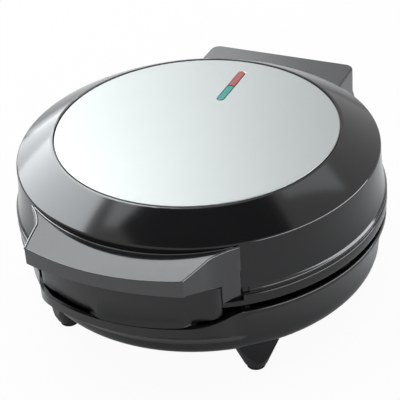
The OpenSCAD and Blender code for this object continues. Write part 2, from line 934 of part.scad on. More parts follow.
// Hinge ears, which stand on the pedestal with their tongues in its slots
module hinge_ears()
    color([0.09, 0.09, 0.1])
    on_body()
    both_sides()
        difference() {
            union() {
                on_hinge(ear_r - snug, ear_x - ear_t, ear_x);
                translate([ear_x - ear_t, y_hinge - ear_r + 1.5, pedestal_top + snug])
                    cube([ear_t, ear_r - 4.5, z_hinge - pedestal_top - snug]);
                ear_tongue(0);
            }
            on_hinge(pin_r + 0.02, ear_x - ear_t - 1, ear_x + 1);
        }

module hinge_pins()
    color([0.7, 0.7, 0.72])
    on_body()
    both_sides()
        on_hinge(pin_r, ear_x - ear_t - 13, ear_x);

// ---------- lid ----------

shoulder_r = body_r - shoulder_inset;
shoulder_round = 1.7;
groove_r = disc_r + disc_groove;
mid_r = shoulder_r + 0.8;
crease_z = z_bead + 2.9;

// Outer line of the lid, from the disc's groove down to the crease above the bead, grown by grow
function lid_outer(grow) = concat(
    [[groove_r, z_disc - 0.2 + grow], [groove_r + 1.4, z_disc - 0.3 + grow]],
    bend([groove_r + 1.4, z_disc - 0.3 + grow],
         [(groove_r + shoulder_r) / 2, z_disc - 0.3 - crown_h * 0.42 + grow],
         [shoulder_r - shoulder_round + (shoulder_round + grow) * cos(60),
          z_shoulder - shoulder_round + (shoulder_round + grow) * sin(60)], 16),
    arc(shoulder_r - shoulder_round, z_shoulder - shoulder_round, shoulder_round + grow, 55, 0, 6),
    bend([shoulder_r + grow, z_shoulder - shoulder_round], [mid_r - 0.4 + grow, z_bead + 12],
         [body_r - 1.1 + grow, crease_z + 0.4], 12),
    [[body_r - 1.1 + grow, crease_z]]
);

// Bead round the lid, and the flange that hangs below it
lid_rim = concat(
    arc(body_r - 1.3, z_bead + 1, 1.3, 55, -55, 7),
    [[body_r - 1.1, z_bead - 0.8], [body_r - 1.1, z_bead - 1.2]],
    arc(body_r - 1, z_bead - 2.5, 1, 80, 0, 5),
    bend([body_r, z_bead - 2.5], [body_r + 0.3, z_bead - 4.8], [body_r, z_flange + 0.8], 6),
    arc(body_r - 0.8, z_flange + 0.8, 0.8, -15, -90, 4)
);

// Radius of the lid wall's inner face at a height
lid_inner = [
    [z_bead, body_r - wall],
    [z_bead + 12, mid_r - wall],
    [z_shoulder - 1.5, shoulder_r - wall - 0.8]
];
function lid_inner_r(z) = lookup(z, lid_inner);

// Ledge round the lid's opening, on which the deck's rim is welded
lap_r = groove_r - 4;
lap_z = z_deck - wall / 2;

module lid_section()
    polygon(concat(
        [[lap_r, lap_z],
         [groove_r, lap_z]],
        lid_outer(0),
        lid_rim,
        [[body_r - wall, z_flange]],
        [for (point = lid_inner) [point[1], point[0]]],
        [[groove_r, z_deck - wall],
         [lap_r, z_deck - wall]]
    ));

// Solid that stands for the lid and its plate, grown by the seat clearance, which cuts what fits it
module lid_envelope()
    rotate_extrude()
        polygon(concat(
            [[0, z_disc]],
            lid_outer(seat),
            [[body_r + 0.2 + seat, crease_z - 0.6], [body_r + 0.2 + seat, z_rim], [0, z_rim]]
        ));

// Places of the screws that hold the handle and the hood: [x, height above the lid's edge]
handle_fix_x = 30;
handle_fix_z = z_bead + 22;
hood_fix_x = 34;
hood_fix_z = z_bead + 14;
fix_hole_r = screw_r + snug;

// Window in the flange for each leg of the handle, and the notch in the bead beside it
notch_start = asin((block_w / 2 - 0.6) / body_r);
notch_span = 8;
window_span = 6.2;
leg_bottom = z_bead - 4.4;
notch_top = crease_z + 0.2;

module lid_shell()
    color([0.1, 0.1, 0.11])
    on_body()
    difference() {
        rotate_extrude()
            lid_section();
        // windows and notches for the handle's legs
        both_sides()
            rotate([0, 0, -90 + notch_start]) {
                translate([0, 0, leg_bottom - seat])
                    rotate_extrude(angle = window_span)
                        translate([body_r - 8, 0])
                            square([12, notch_top - leg_bottom + seat]);
                translate([0, 0, z_bead - 1])
                    rotate_extrude(angle = notch_span)
                        translate([body_r - 2, 0])
                            square([6, notch_top - z_bead + 1]);
            }
        // holes of the handle's and the hood's screws
        for (sx = [-1, 1]) {
            translate([sx * handle_fix_x, -body_r - 1, handle_fix_z])
                rotate([-90, 0, 0])
                    cylinder(r = fix_hole_r, h = 40, $fn = 32);
            translate([sx * hood_fix_x, body_r - 39, hood_fix_z])
                rotate([-90, 0, 0])
                    cylinder(r = fix_hole_r, h = 40, $fn = 32);
        }
    }

// Deck that closes the lid's opening under the steel disc
module lid_deck()
    color([0.1, 0.1, 0.11])
    on_body()
    difference() {
        rotate_extrude()
            polygon([
                [0, z_deck],
                [groove_r - snug, z_deck],
                [groove_r - snug, lap_z],
                [lap_r - snug, lap_z],
                [lap_r - snug, z_deck - wall],
                [0, z_deck - wall]
            ]);
        // lens slot, with a rebate for the holder's flange
        lens_slot(lens_holder_w / 2 + snug, z_deck - wall - 1, wall + 2);
        lens_slot(lens_holder_w / 2 + 2 + snug, z_deck - 1.2, 3);
        // holes of the deck screws, sunk for their heads
        four(post_xy, post_xy) {
            translate([0, 0, z_deck - wall - 1])
                cylinder(r = fix_hole_r, h = wall + 2, $fn = 32);
            translate([0, 0, z_deck - 1.4])
                cylinder(r = screw_head_r + 0.3, h = 2, $fn = 48);
        }
    }

module deck_screws()
    color([0.6, 0.6, 0.62])
    on_body()
    four(post_xy, post_xy) {
        translate([0, 0, z_deck - 1.4])
            cylinder(r = screw_head_r, h = 1.3, $fn = 48);
        translate([0, 0, z_deck - wall - screw_grip + 2])
            cylinder(r = screw_r, h = wall + screw_grip - 3.4 + eps, $fn = 32);
    }

// Prism with round ends along Y, about the lens slot's middle
module lens_slot(r, z, h, length = lens_len)
    translate([0, lens_y, z]) {
        for (sy = [-1, 1])
            translate([0, sy * (length / 2 - lens_w / 2), 0])
                cylinder(r = r, h = h, $fn = 48);
        translate([-r, -length / 2 + lens_w / 2, 0])
            cube([2 * r, length - lens_w, h]);
    }

// Disc of brushed steel that lies in the lid's recess
module steel_disc()
    color([0.8, 0.82, 0.81])
    on_body()
    difference() {
        translate([0, 0, z_disc - disc_t])
            rotate_extrude()
                polygon(concat(
                    [[0, 0], [disc_r, 0]],
                    arc(disc_r - 0.6, disc_t - 0.6, 0.6, 0, 90, 4),
                    [[0, disc_t]]
                ));
        lens_slot(lens_w / 2, z_disc - disc_t - 1, disc_t + 2);
    }

// Tray that hangs in the slot by its flange and carries the lenses and the lamps
lens_holder_w = lens_w + 3;
lens_t = 3;
lamp_r = 1.8;
tray_floor = z_deck - lens_t - 1 - 2 * lamp_r - 0.6;
module lens_holder()
    color([0.06, 0.06, 0.06])
    on_body()
    difference() {
        union() {
            lens_slot(lens_holder_w / 2, tray_floor - 1.2, z_deck - tray_floor + 1.1);
            lens_slot(lens_holder_w / 2 + 2, z_deck - 1.1, 1);
        }
        lens_slot(lens_w / 2 + 0.1, z_deck - lens_t, lens_t + 1);
        lens_slot(lens_w / 2 - 0.9, tray_floor + 1, lens_t + 8, lens_len - 2);
        lens_slot(lamp_r + 0.3, tray_floor, 2 * lamp_r + 0.6);
    }

// Half of the lens pair: end = 1 is the rear one
module lens_half(end)
    intersection() {
        lens_slot(lens_w / 2 - 0.15, z_deck - lens_t + 0.1, lens_t + z_disc - z_deck);
        translate([-lens_w, end > 0 ? lens_y + 0.25 : lens_y - lens_len, z_deck - 10])
            cube([2 * lens_w, lens_len - 0.25, 40]);
    }

module red_lens()
    color([0.8, 0.16, 0.14])
    on_body()
    lens_half(1);

module green_lens()
    color([0.1, 0.62, 0.5])
    on_body()
    lens_half(-1);

// Neon lamp lying along the tray
module lamp(y)
    translate([0, y, tray_floor + lamp_r + 0.1])
        rotate([90, 0, 0]) {
            translate([0, 0, -5])
                cylinder(r = lamp_r, h = 10, $fn = 40);
            for (end = [-7, 5])
                translate([0, 0, end])
                    cylinder(r = 0.5, h = 2, $fn = 24);
        }

module red_lamp()
    color([0.95, 0.6, 0.4])
    on_body()
    lamp(lens_y + lens_len / 4);

module green_lamp()
    color([0.7, 0.95, 0.8])
    on_body()
    lamp(lens_y - lens_len / 4);

// ---------- lid handle ----------

handle_tip_x = handle_w / 2;
handle_root_x = block_w / 2 + handle_cheek;
handle_flare = handle_root_x - handle_tip_x;
handle_tip_y = -(handle_reach - handle_bow_r
    + sqrt(handle_bow_r * handle_bow_r - handle_tip_x * handle_tip_x));

// Side line of the handle from its front corner back to the lid
function handle_side(inset) =
    let (tip = [handle_tip_x - inset, handle_tip_y + inset * 0.8],
         knee_x = handle_tip_x + 0.38 * handle_flare,
         hip_x = handle_tip_x + 0.64 * handle_flare,
         knee = [knee_x - inset, front_y(body_r, knee_x) - 5.1],
         root = [handle_root_x + 3 - inset, front_y(body_r, handle_root_x) + 5])
    concat(
        [tip],
        bend(tip, [handle_tip_x + 0.22 * handle_flare - inset, (tip[1] + knee[1]) / 2], knee, 5),
        bend(knee, [hip_x - inset, front_y(body_r, hip_x) + 1], root, 6)
    );

module handle_plan(inset)
    polygon(concat(
        mirrored(handle_side(inset)),
        arc(0, handle_bow_r - handle_reach, handle_bow_r - inset,
            -90 - asin((handle_tip_x - 2) / handle_bow_r),
            -90 + asin((handle_tip_x - 2) / handle_bow_r), 20),
        handle_side(inset)
    ));

handle_top_z = z_shoulder - handle_drop;

// Side view of the handle, extruded across it
module handle_profile()
    rotate([90, 0, 90])
        translate([0, 0, -body_r])
            linear_extrude(2 * body_r)
                polygon([
                    [-handle_reach - 5, skirt_front_z],
                    [skirt_front_y, skirt_front_z],
                    [skirt_back_y - 2.4, skirt_back_z],
                    [0, skirt_back_z],
                    [0, z_shoulder],
                    [-handle_reach - 5, z_shoulder]
                ]);

// Wide cylinder whose underside hollows the top of the handle
module handle_dish(drop)
    translate([0, -body_r, handle_top_z - drop])
        rotate([90 - handle_tilt, 0, 0])
            translate([0, handle_dish_r, -body_r])
                cylinder(r = handle_dish_r, h = 2 * body_r, $fn = 360);

// Leg at each end of the skirt, which fills the window in the lid's flange
leg_inner_r = plate_r + 1.7;
leg_w = 10;
module handle_legs()
    difference() {
        translate([0, 0, leg_bottom])
            linear_extrude(skirt_back_z - leg_bottom + 3)
                intersection() {
                    handle_plan(0);
                    difference() {
                        circle(r = block_inner_r - 0.4);
                        circle(r = leg_inner_r);
                    }
                    for (sx = [-1, 1])
                        translate([sx * (block_w + leg_w) / 2, -body_r / 2])
                            square([leg_w, 2 * body_r], center = true);
                }
        // the lid's wall above the notches
        intersection() {
            lid_envelope();
            translate([-2 * body_r, -2 * body_r, notch_top - seat])
                cube([4 * body_r, 2 * body_r, lid_h]);
        }
    }

handle_skin = 3;
module lid_handle()
    color([0.12, 0.12, 0.13])
    on_body()
    difference() {
        union() {
            difference() {
                intersection() {
                    translate([0, 0, z_rim])
                        linear_extrude(lid_h + waist_h)
                            handle_plan(0);
                    handle_profile();
                }
                // hollow under the top, open downwards
                difference() {
                    translate([0, 0, z_rim - 1])
                        linear_extrude(lid_h + waist_h)
                            handle_plan(wall);
                    handle_dish(handle_skin);
                }
                lid_envelope();
            }
            // bosses for the screws from inside the lid, and ribs that carry them
            difference() {
                for (sx = [-1, 1]) {
                    translate([sx * handle_fix_x, -body_r - 6, handle_fix_z])
                        rotate([-90, 0, 0])
                            cylinder(r = 3.6, h = 20, $fn = 48);
                    translate([sx * handle_fix_x - 1.2, -body_r - 6, handle_fix_z])
                        cube([2.4, 14, handle_top_z - 1 - handle_fix_z]);
                }
                lid_envelope();
            }
            handle_legs();
        }
        handle_dish(0);
        for (sx = [-1, 1])
            translate([sx * handle_fix_x, -body_r - 7, handle_fix_z])
                rotate([-90, 0, 0])
                    cylinder(r = screw_r + 0.02, h = 30, $fn = 32);
    }

// Screw along Y whose head rests on the inside of the lid wall; dir = -1 points forward
module wall_screw(x, z, dir) {
    head_x = abs(x) + screw_head_r;
    inner_y = sqrt(pow(lid_inner_r(z + screw_head_r), 2) - head_x * head_x) - snug;
    translate([x, dir * inner_y, z])
        rotate([-dir * 90, 0, 0]) {
            translate([0, 0, -screw_head_h])
                cylinder(r = screw_head_r, h = screw_head_h, $fn = 48);
            translate([0, 0, -eps])
                cylinder(r = screw_r, h = 14, $fn = 32);
        }
}

module lid_handle_screws()
    color([0.6, 0.6, 0.62])
    on_body()
    for (sx = [-1, 1])
        wall_screw(sx * handle_fix_x, handle_fix_z, -1);

// ---------- hinge hood ----------

hood_x = hood_w / 2;
hood_top_z = z_shoulder - hood_drop;
hood_bottom_z = z_hinge + 2;
hood_corner = 6;
cheek_r = hood_out - 1.5;

module hood_plan(inset)
    polygon(concat(
        [[hood_x - inset, 60]],
        arc(hood_x - hood_corner, hood_reach - hood_corner, hood_corner - inset, 0, 90, 6),
        arc(-hood_x + hood_corner, hood_reach - hood_corner, hood_corner - inset, 90, 180, 6),
        [[-hood_x + inset, 60]]
    ));

module hinge_hood()
    color([0.14, 0.14, 0.15])
    on_body()
    difference() {
        union() {
            difference() {
                translate([0, 0, hood_bottom_z])
                    linear_extrude(hood_top_z - hood_bottom_z)
                        hood_plan(0);
                translate([0, 0, hood_bottom_z - 1])
                    linear_extrude(hood_top_z - hood_bottom_z + 1 - wall)
                        hood_plan(wall);
            }
            // round cheeks over the ends of the hinge
            both_sides()
                on_hinge(cheek_r, hood_x - wall, hood_x);
            // barrel between the ears, hung on a web
            on_hinge(barrel_r, -ear_x + ear_t + 0.4, ear_x - ear_t - 0.4);
            translate([-ear_x + ear_t + 0.4, y_hinge - 3, z_hinge])
                cube([2 * (ear_x - ear_t - 0.4), 6, hood_top_z - wall - z_hinge + eps]);
            // bosses for the screws from inside the lid
            for (sx = [-1, 1])
                translate([sx * hood_fix_x, body_r - 14, hood_fix_z])
                    rotate([-90, 0, 0])
                        cylinder(r = 4, h = 14 + hinge_back, $fn = 48);
        }
        lid_envelope();
        // pin bore through the barrel
        on_hinge(pin_r + fit, -ear_x + ear_t, ear_x - ear_t);
        for (sx = [-1, 1])
            translate([sx * hood_fix_x, body_r - 20, hood_fix_z])
                rotate([-90, 0, 0])
                    cylinder(r = screw_r + 0.02, h = 26, $fn = 32);
    }

module hinge_hood_screws()
    color([0.6, 0.6, 0.62])
    on_body()
    for (sx = [-1, 1])
        wall_screw(sx * hood_fix_x, hood_fix_z, 1);

base_shell();
base_handle();
base_cover();
feet();
foot_pads();
cover_screws();
base_handle_screws();
lower_cooking_plate();
lower_heating_element();
lower_reflector();
lower_spacers();
thermostat();
thermal_fuse();
fuse_clip();
clip_screws();
terminal_block();
terminal_screws();
cord_gland();
hinge_ears();
hinge_pins();
lid_shell();
lid_deck();
lid_handle();
lid_handle_screws();
hinge_hood();
hinge_hood_screws();
steel_disc();
lens_holder();
red_lens();
green_lens();
red_lamp();
green_lamp();
upper_cooking_plate();
upper_heating_element();
upper_reflector();
upper_spacers();
deck_screws();
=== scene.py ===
"""Looks of the round pizzelle maker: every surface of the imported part, its light and its camera.

All lengths are metres unless a name ends in _mm or _px, and a name that ends in _deg is an angle in
degrees. The frame is the part's own: +Z up, -Y the handle, +Y the hinge, with the origin on the
table under the middle of the appliance.
"""

import logging
import math
from dataclasses import dataclass
from enum import Enum
from typing import Callable, Mapping, Sequence

import bpy
import numpy
from mathutils import Euler, Matrix, Vector


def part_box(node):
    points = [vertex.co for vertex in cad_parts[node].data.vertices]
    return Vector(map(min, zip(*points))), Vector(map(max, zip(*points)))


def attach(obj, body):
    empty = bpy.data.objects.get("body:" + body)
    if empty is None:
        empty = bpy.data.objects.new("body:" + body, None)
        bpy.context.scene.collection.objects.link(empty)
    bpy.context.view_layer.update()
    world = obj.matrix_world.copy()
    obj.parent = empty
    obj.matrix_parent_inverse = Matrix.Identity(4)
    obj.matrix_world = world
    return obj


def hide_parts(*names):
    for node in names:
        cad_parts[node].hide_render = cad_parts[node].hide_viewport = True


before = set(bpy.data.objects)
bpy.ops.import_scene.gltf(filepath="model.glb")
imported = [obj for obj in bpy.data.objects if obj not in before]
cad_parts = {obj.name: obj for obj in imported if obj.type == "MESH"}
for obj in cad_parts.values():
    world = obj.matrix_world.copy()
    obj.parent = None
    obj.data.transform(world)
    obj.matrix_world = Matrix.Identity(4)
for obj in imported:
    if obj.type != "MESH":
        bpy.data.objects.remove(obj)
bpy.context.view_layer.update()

LOG = logging.getLogger("pizzelle_maker")
MM = 0.001
AXIS_Y = -3.15 * MM  # the upright axis of the round body
HAIR = 0.01 * MM  # distance below which two points count as one
LIGHT_AIM = (0.0, 0.0, 60 * MM)  # the point that lights and cards face
MIX_A, MIX_B, MIX_RESULT = 6, 7, 2  # places of the colour sockets on a Mix node

Point = tuple[float, float, float]
Colour = tuple[float, float, float]
Test = Callable[[Vector, Vector], bool]
Values = Mapping[str | int, float | Sequence[float]]


class Body(Enum):
    """The two rigid bodies of the appliance."""

    BASE = "base"
    LID = "lid"


class Part(Enum):
    """What an edit-mode selection is made of."""

    VERTEX = "VERT"
    EDGE = "EDGE"
    FACE = "FACE"


class Merge(Enum):
    """How a tool changes the solid that it meets."""

    CUT = "DIFFERENCE"
    WELD = "UNION"


class Rays(Enum):
    """Which rays a studio light answers to."""

    GLOSS = "gloss"
    SOFT = "soft"


def anywhere(_at: Vector, _way: Vector) -> bool:
    """Pass every vertex, edge and face."""
    return True


def add_object(name: str, data: bpy.types.ID) -> bpy.types.Object:
    """Put a mesh, curve, light or camera in the scene.

    Args:
        name: The object's name.
        data: Its data.

    Returns:
        The object.
    """
    piece = bpy.data.objects.new(name, data)
    bpy.context.scene.collection.objects.link(piece)
    return piece


# ---------------------------------------------------------------- shader nodes


def new_material(name: str) -> bpy.types.Material:
    """Make a material with a Principled shader.

    Args:
        name: Its name.

    Returns:
        The material.
    """
    material = bpy.data.materials.new(name)
    material.use_nodes = True
    return material


def set_inputs(node: bpy.types.Node, values: Values) -> None:
    """Give a shader node's inputs their values, by the inputs' labels or places."""
    for label, value in values.items():
        node.inputs[label].default_value = value


def add_node(tree: bpy.types.NodeTree, kind: str, values: Values | None = None,
             **settings: object) -> bpy.types.Node:
    """Add a shader node.

    Args:
        tree: The tree that it goes in.
        kind: Its type, without the leading ShaderNode.
        values: Values of its inputs, by their labels or places.
        **settings: Values of its own settings.

    Returns:
        The node.
    """
    node = tree.nodes.new(f"ShaderNode{kind}")
    for label, value in settings.items():
        setattr(node, label, value)
    set_inputs(node, values or {})
    return node


class NodeGroups:
    """Shader node groups that several finishes share, each built once."""

    @staticmethod
    def _begin(name: str, inputs: Sequence[str],
               output: str) -> tuple[bpy.types.NodeTree, bpy.types.Node, bpy.types.Node]:
        """Start a shader group whose sockets are floats.

        Args:
            name: The group's name.
            inputs: Names of its inputs.
            output: Name of its output.

        Returns:
            The group with its input and output nodes.
        """
        group = bpy.data.node_groups.new(name, "ShaderNodeTree")
        sockets = [(label, "INPUT") for label in inputs] + [(output, "OUTPUT")]
        for label, direction in sockets:
            group.interface.new_socket(label, in_out=direction, socket_type="NodeSocketFloat")
        return group, group.nodes.new("NodeGroupInput"), group.nodes.new("NodeGroupOutput")

    @classmethod
    def dust(cls) -> bpy.types.NodeTree:
        """Make faint uneven dust and wiping marks, as a mask from 0 to 1.

        Returns:
            The group, with input Scale and output Mask.
        """
        name = "fine_dust"
        if name in bpy.data.node_groups:
            return bpy.data.node_groups[name]
        group, start, end = cls._begin(name, ["Scale"], "Mask")
        coords = add_node(group, "TexCoord")
        noise = add_node(group, "TexNoise", {"Detail": 6.0, "Roughness": 0.65})
        contrast = add_node(group, "MapRange", {"From Min": 0.35, "From Max": 0.75})
        links = group.links
        links.new(coords.outputs["Object"], noise.inputs["Vector"])
        links.new(start.outputs["Scale"], noise.inputs["Scale"])
        links.new(noise.outputs["Fac"], contrast.inputs["Value"])
        links.new(contrast.outputs["Result"], end.inputs["Mask"])
        return group

    @classmethod
    def grain(cls) -> bpy.types.NodeTree:
        """Make fine surface grain, as a height for a Bump node.

        Returns:
            The group, with inputs Scale and Stretch and output Height.
        """
        name = "surface_grain"
        if name in bpy.data.node_groups:
            return bpy.data.node_groups[name]
        group, start, end = cls._begin(name, ["Scale", "Stretch"], "Height")
        coords = add_node(group, "TexCoord")
        stretch = add_node(group, "CombineXYZ", {"Y": 1.0, "Z": 1.0})
        product = add_node(group, "VectorMath", operation="MULTIPLY")
        noise = add_node(group, "TexNoise", {"Detail": 3.0})
        links = group.links
        links.new(start.outputs["Stretch"], stretch.inputs["X"])
        links.new(coords.outputs["Object"], product.inputs[0])
        links.new(stretch.outputs["Vector"], product.inputs[1])
        links.new(product.outputs["Vector"], noise.inputs["Vector"])
        links.new(start.outputs["Scale"], noise.inputs["Scale"])
        links.new(noise.outputs["Fac"], end.inputs["Height"])
        return group


# ---------------------------------------------------------------- finishes


@dataclass(frozen=True)
class Finish:
    """A surface finish: a Principled shader with fine grain, and dust that changes its tone."""

    name: str
    colour: Colour
    roughness: float
    metallic: float = 0.0
    specular: float = 0.5
    dust_colour: Colour = (0.25, 0.25, 0.25)
    dust: float = 0.03
    dust_scale: float = 25.0
    rough_spread: float = 0.05
    grain_scale: float = 1500.0
    grain_depth: float = 0.01 * MM
    grain_stretch: float = 1.0
    grain_strength: float = 0.6
    alpha: float = 1.0
    glow: Colour = (0.0, 0.0, 0.0)
    glow_strength: float = 0.0

    def material(self) -> bpy.types.Material:
        """Build the material once and return it afterwards.

        Returns:
            The Blender material of this finish.
        """
        name = f"{self.name}_finish"
        if name in bpy.data.materials:
            return bpy.data.materials[name]
        material = new_material(name)
        tree = material.node_tree
        links = tree.links
        shader = tree.nodes["Principled BSDF"]
        set_inputs(shader, {
            "Metallic": self.metallic, "Specular IOR Level": self.specular, "Alpha": self.alpha,
            "Emission Color": (*self.glow, 1.0), "Emission Strength": self.glow_strength,
        })

        dust = add_node(tree, "Group", {"Scale": self.dust_scale}, node_tree=NodeGroups.dust())
        tint = add_node(tree, "Mix", {MIX_A: (*self.colour, 1.0), MIX_B: (*self.dust_colour, 1.0)},
                        data_type="RGBA")
        share = add_node(tree, "Math", {1: self.dust}, operation="MULTIPLY")
        links.new(dust.outputs["Mask"], share.inputs[0])
        links.new(share.outputs[0], tint.inputs[0])
        links.new(tint.outputs[MIX_RESULT], shader.inputs["Base Color"])

        half_spread = self.rough_spread / 2
        rough = add_node(tree, "MapRange", {"To Min": max(0.0, self.roughness - half_spread),
                                            "To Max": self.roughness + half_spread})
        links.new(dust.outputs["Mask"], rough.inputs["Value"])
        links.new(rough.outputs["Result"], shader.inputs["Roughness"])

        grain = add_node(tree, "Group", {"Scale": self.grain_scale, "Stretch": self.grain_stretch},
                         node_tree=NodeGroups.grain())
        bump = add_node(tree, "Bump", {"Distance": self.grain_depth,
                                       "Strength": self.grain_strength})
        links.new(grain.outputs["Height"], bump.inputs["Height"])
        links.new(bump.outputs["Normal"], shader.inputs["Normal"])
        return material


class Finishes:
    """The appliance's finishes, by what they are made of."""

    gloss_black = Finish("gloss_black_plastic", (0.0045, 0.0047, 0.0052), 0.13, dust=0.01,
                         rough_spread=0.02, grain_depth=0.004 * MM)
    base_black = Finish("base_black_plastic", (0.0055, 0.0057, 0.006), 0.17, dust=0.012,
                        rough_spread=0.03, grain_depth=0.005 * MM)
    handle_black = Finish("handle_black_plastic", (0.006, 0.0063, 0.007), 0.12, specular=1.0,
                          dust=0.01, rough_spread=0.02, grain_depth=0.006 * MM)
    block_black = Finish("block_black_plastic", (0.007, 0.0072, 0.0075), 0.24, dust=0.012,
                         rough_spread=0.03, grain_depth=0.006 * MM)
    hood_black = Finish("hood_black_plastic", (0.008, 0.0085, 0.0095), 0.24, specular=0.9,
                        dust=0.012, rough_spread=0.03, grain_depth=0.006 * MM)
    matte_black = Finish("inner_plastic", (0.014, 0.014, 0.015), 0.42, grain_depth=0.03 * MM,
                         grain_scale=700.0)
    foot_black = Finish("foot_plastic", (0.008, 0.008, 0.009), 0.36, specular=0.3, dust=0.02,
                        grain_depth=0.02 * MM, grain_scale=700.0)
    rubber = Finish("foot_rubber", (0.012, 0.012, 0.012), 0.6, specular=0.3, dust=0.08,
                    grain_depth=0.04 * MM, grain_scale=500.0)
    coating = Finish("non_stick_coating", (0.045, 0.045, 0.048), 0.38,
                     dust_colour=(0.12, 0.12, 0.12), dust=0.25, dust_scale=90.0,
                     grain_depth=0.04 * MM, grain_scale=900.0)
    disc_steel = Finish("brushed_disc_steel", (0.318, 0.33, 0.325), 0.4, metallic=1.0,
                        dust_colour=(0.3, 0.312, 0.306), dust=0.3, dust_scale=12.0,
                        rough_spread=0.03, grain_scale=350.0, grain_stretch=0.02,
                        grain_depth=0.004 * MM)
    sheet_steel = Finish("aluminised_sheet", (0.66, 0.67, 0.68), 0.32, metallic=1.0,
                         dust_colour=(0.45, 0.44, 0.42), dust=0.5, grain_scale=400.0)
    heater_steel = Finish("heater_tube_steel", (0.2, 0.17, 0.15), 0.5, metallic=0.8,
                          dust_colour=(0.09, 0.07, 0.06), dust=0.8, dust_scale=60.0)
    zinc = Finish("zinc_plate", (0.62, 0.62, 0.64), 0.3, metallic=1.0,
                  dust_colour=(0.4, 0.4, 0.4), dust=0.4, dust_scale=300.0)
    pin_steel = Finish("turned_steel", (0.62, 0.61, 0.6), 0.25, metallic=1.0, dust=0.2,
                       grain_scale=600.0, grain_stretch=8.0)
    ceramic = Finish("steatite", (0.72, 0.68, 0.58), 0.5, dust_colour=(0.5, 0.45, 0.38), dust=0.4,
                     dust_scale=80.0)
    terminal = Finish("terminal_plastic", (0.75, 0.75, 0.72), 0.45,
                      dust_colour=(0.55, 0.54, 0.5), dust=0.3)
    red = Finish("red_lens", (0.33, 0.04, 0.03), 0.3, specular=0.32,
                 dust_colour=(0.36, 0.06, 0.05), dust=0.5, dust_scale=160.0,
                 glow=(0.8, 0.1, 0.08), glow_strength=0.01)
    green = Finish("green_lens", (0.006, 0.26, 0.215), 0.3, specular=0.26,
                   dust_colour=(0.03, 0.3, 0.25), dust=0.5, dust_scale=160.0,
                   glow=(0.06, 0.6, 0.42), glow_strength=0.01)
    lamp = Finish("lamp_glass", (0.9, 0.82, 0.75), 0.1, specular=0.6, alpha=0.5, dust=0.05)


NODE_FINISH: dict[str, Finish] = {
    "base_shell": Finishes.base_black, "base_handle": Finishes.block_black,
    "base_cover": Finishes.matte_black, "feet": Finishes.foot_black,
    "foot_pads": Finishes.rubber, "cover_screws": Finishes.zinc,
    "base_handle_screws": Finishes.zinc, "lower_cooking_plate": Finishes.coating,
    "lower_heating_element": Finishes.heater_steel, "lower_reflector": Finishes.sheet_steel,
    "lower_spacers": Finishes.sheet_steel, "thermostat": Finishes.ceramic,
    "thermal_fuse": Finishes.ceramic, "fuse_clip": Finishes.sheet_steel,
    "clip_screws": Finishes.zinc, "terminal_block": Finishes.terminal,
    "terminal_screws": Finishes.zinc, "cord_gland": Finishes.rubber,
    "hinge_ears": Finishes.base_black, "hinge_pins": Finishes.pin_steel,
    "lid_shell": Finishes.gloss_black, "lid_deck": Finishes.matte_black,
    "lid_handle": Finishes.handle_black, "lid_handle_screws": Finishes.zinc,
    "hinge_hood": Finishes.hood_black, "hinge_hood_screws": Finishes.zinc,
    "steel_disc": Finishes.disc_steel, "lens_holder": Finishes.matte_black,
    "red_lens": Finishes.red, "green_lens": Finishes.green,
    "red_lamp": Finishes.lamp, "green_lamp": Finishes.lamp,
    "upper_cooking_plate": Finishes.coating, "upper_heating_element": Finishes.heater_steel,
    "upper_reflector": Finishes.sheet_steel, "upper_spacers": Finishes.sheet_steel,
    "deck_screws": Finishes.zinc,
}


def dress_nodes() -> None:
    """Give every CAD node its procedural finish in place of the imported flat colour."""
    for name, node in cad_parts.items():
        finish = NODE_FINISH[name]
        material = finish.material()
        for slot in node.material_slots:
            slot.material = material
        LOG.info("dressed node %s with %s", name, finish.name)


# ---------------------------------------------------------------- modelling steps


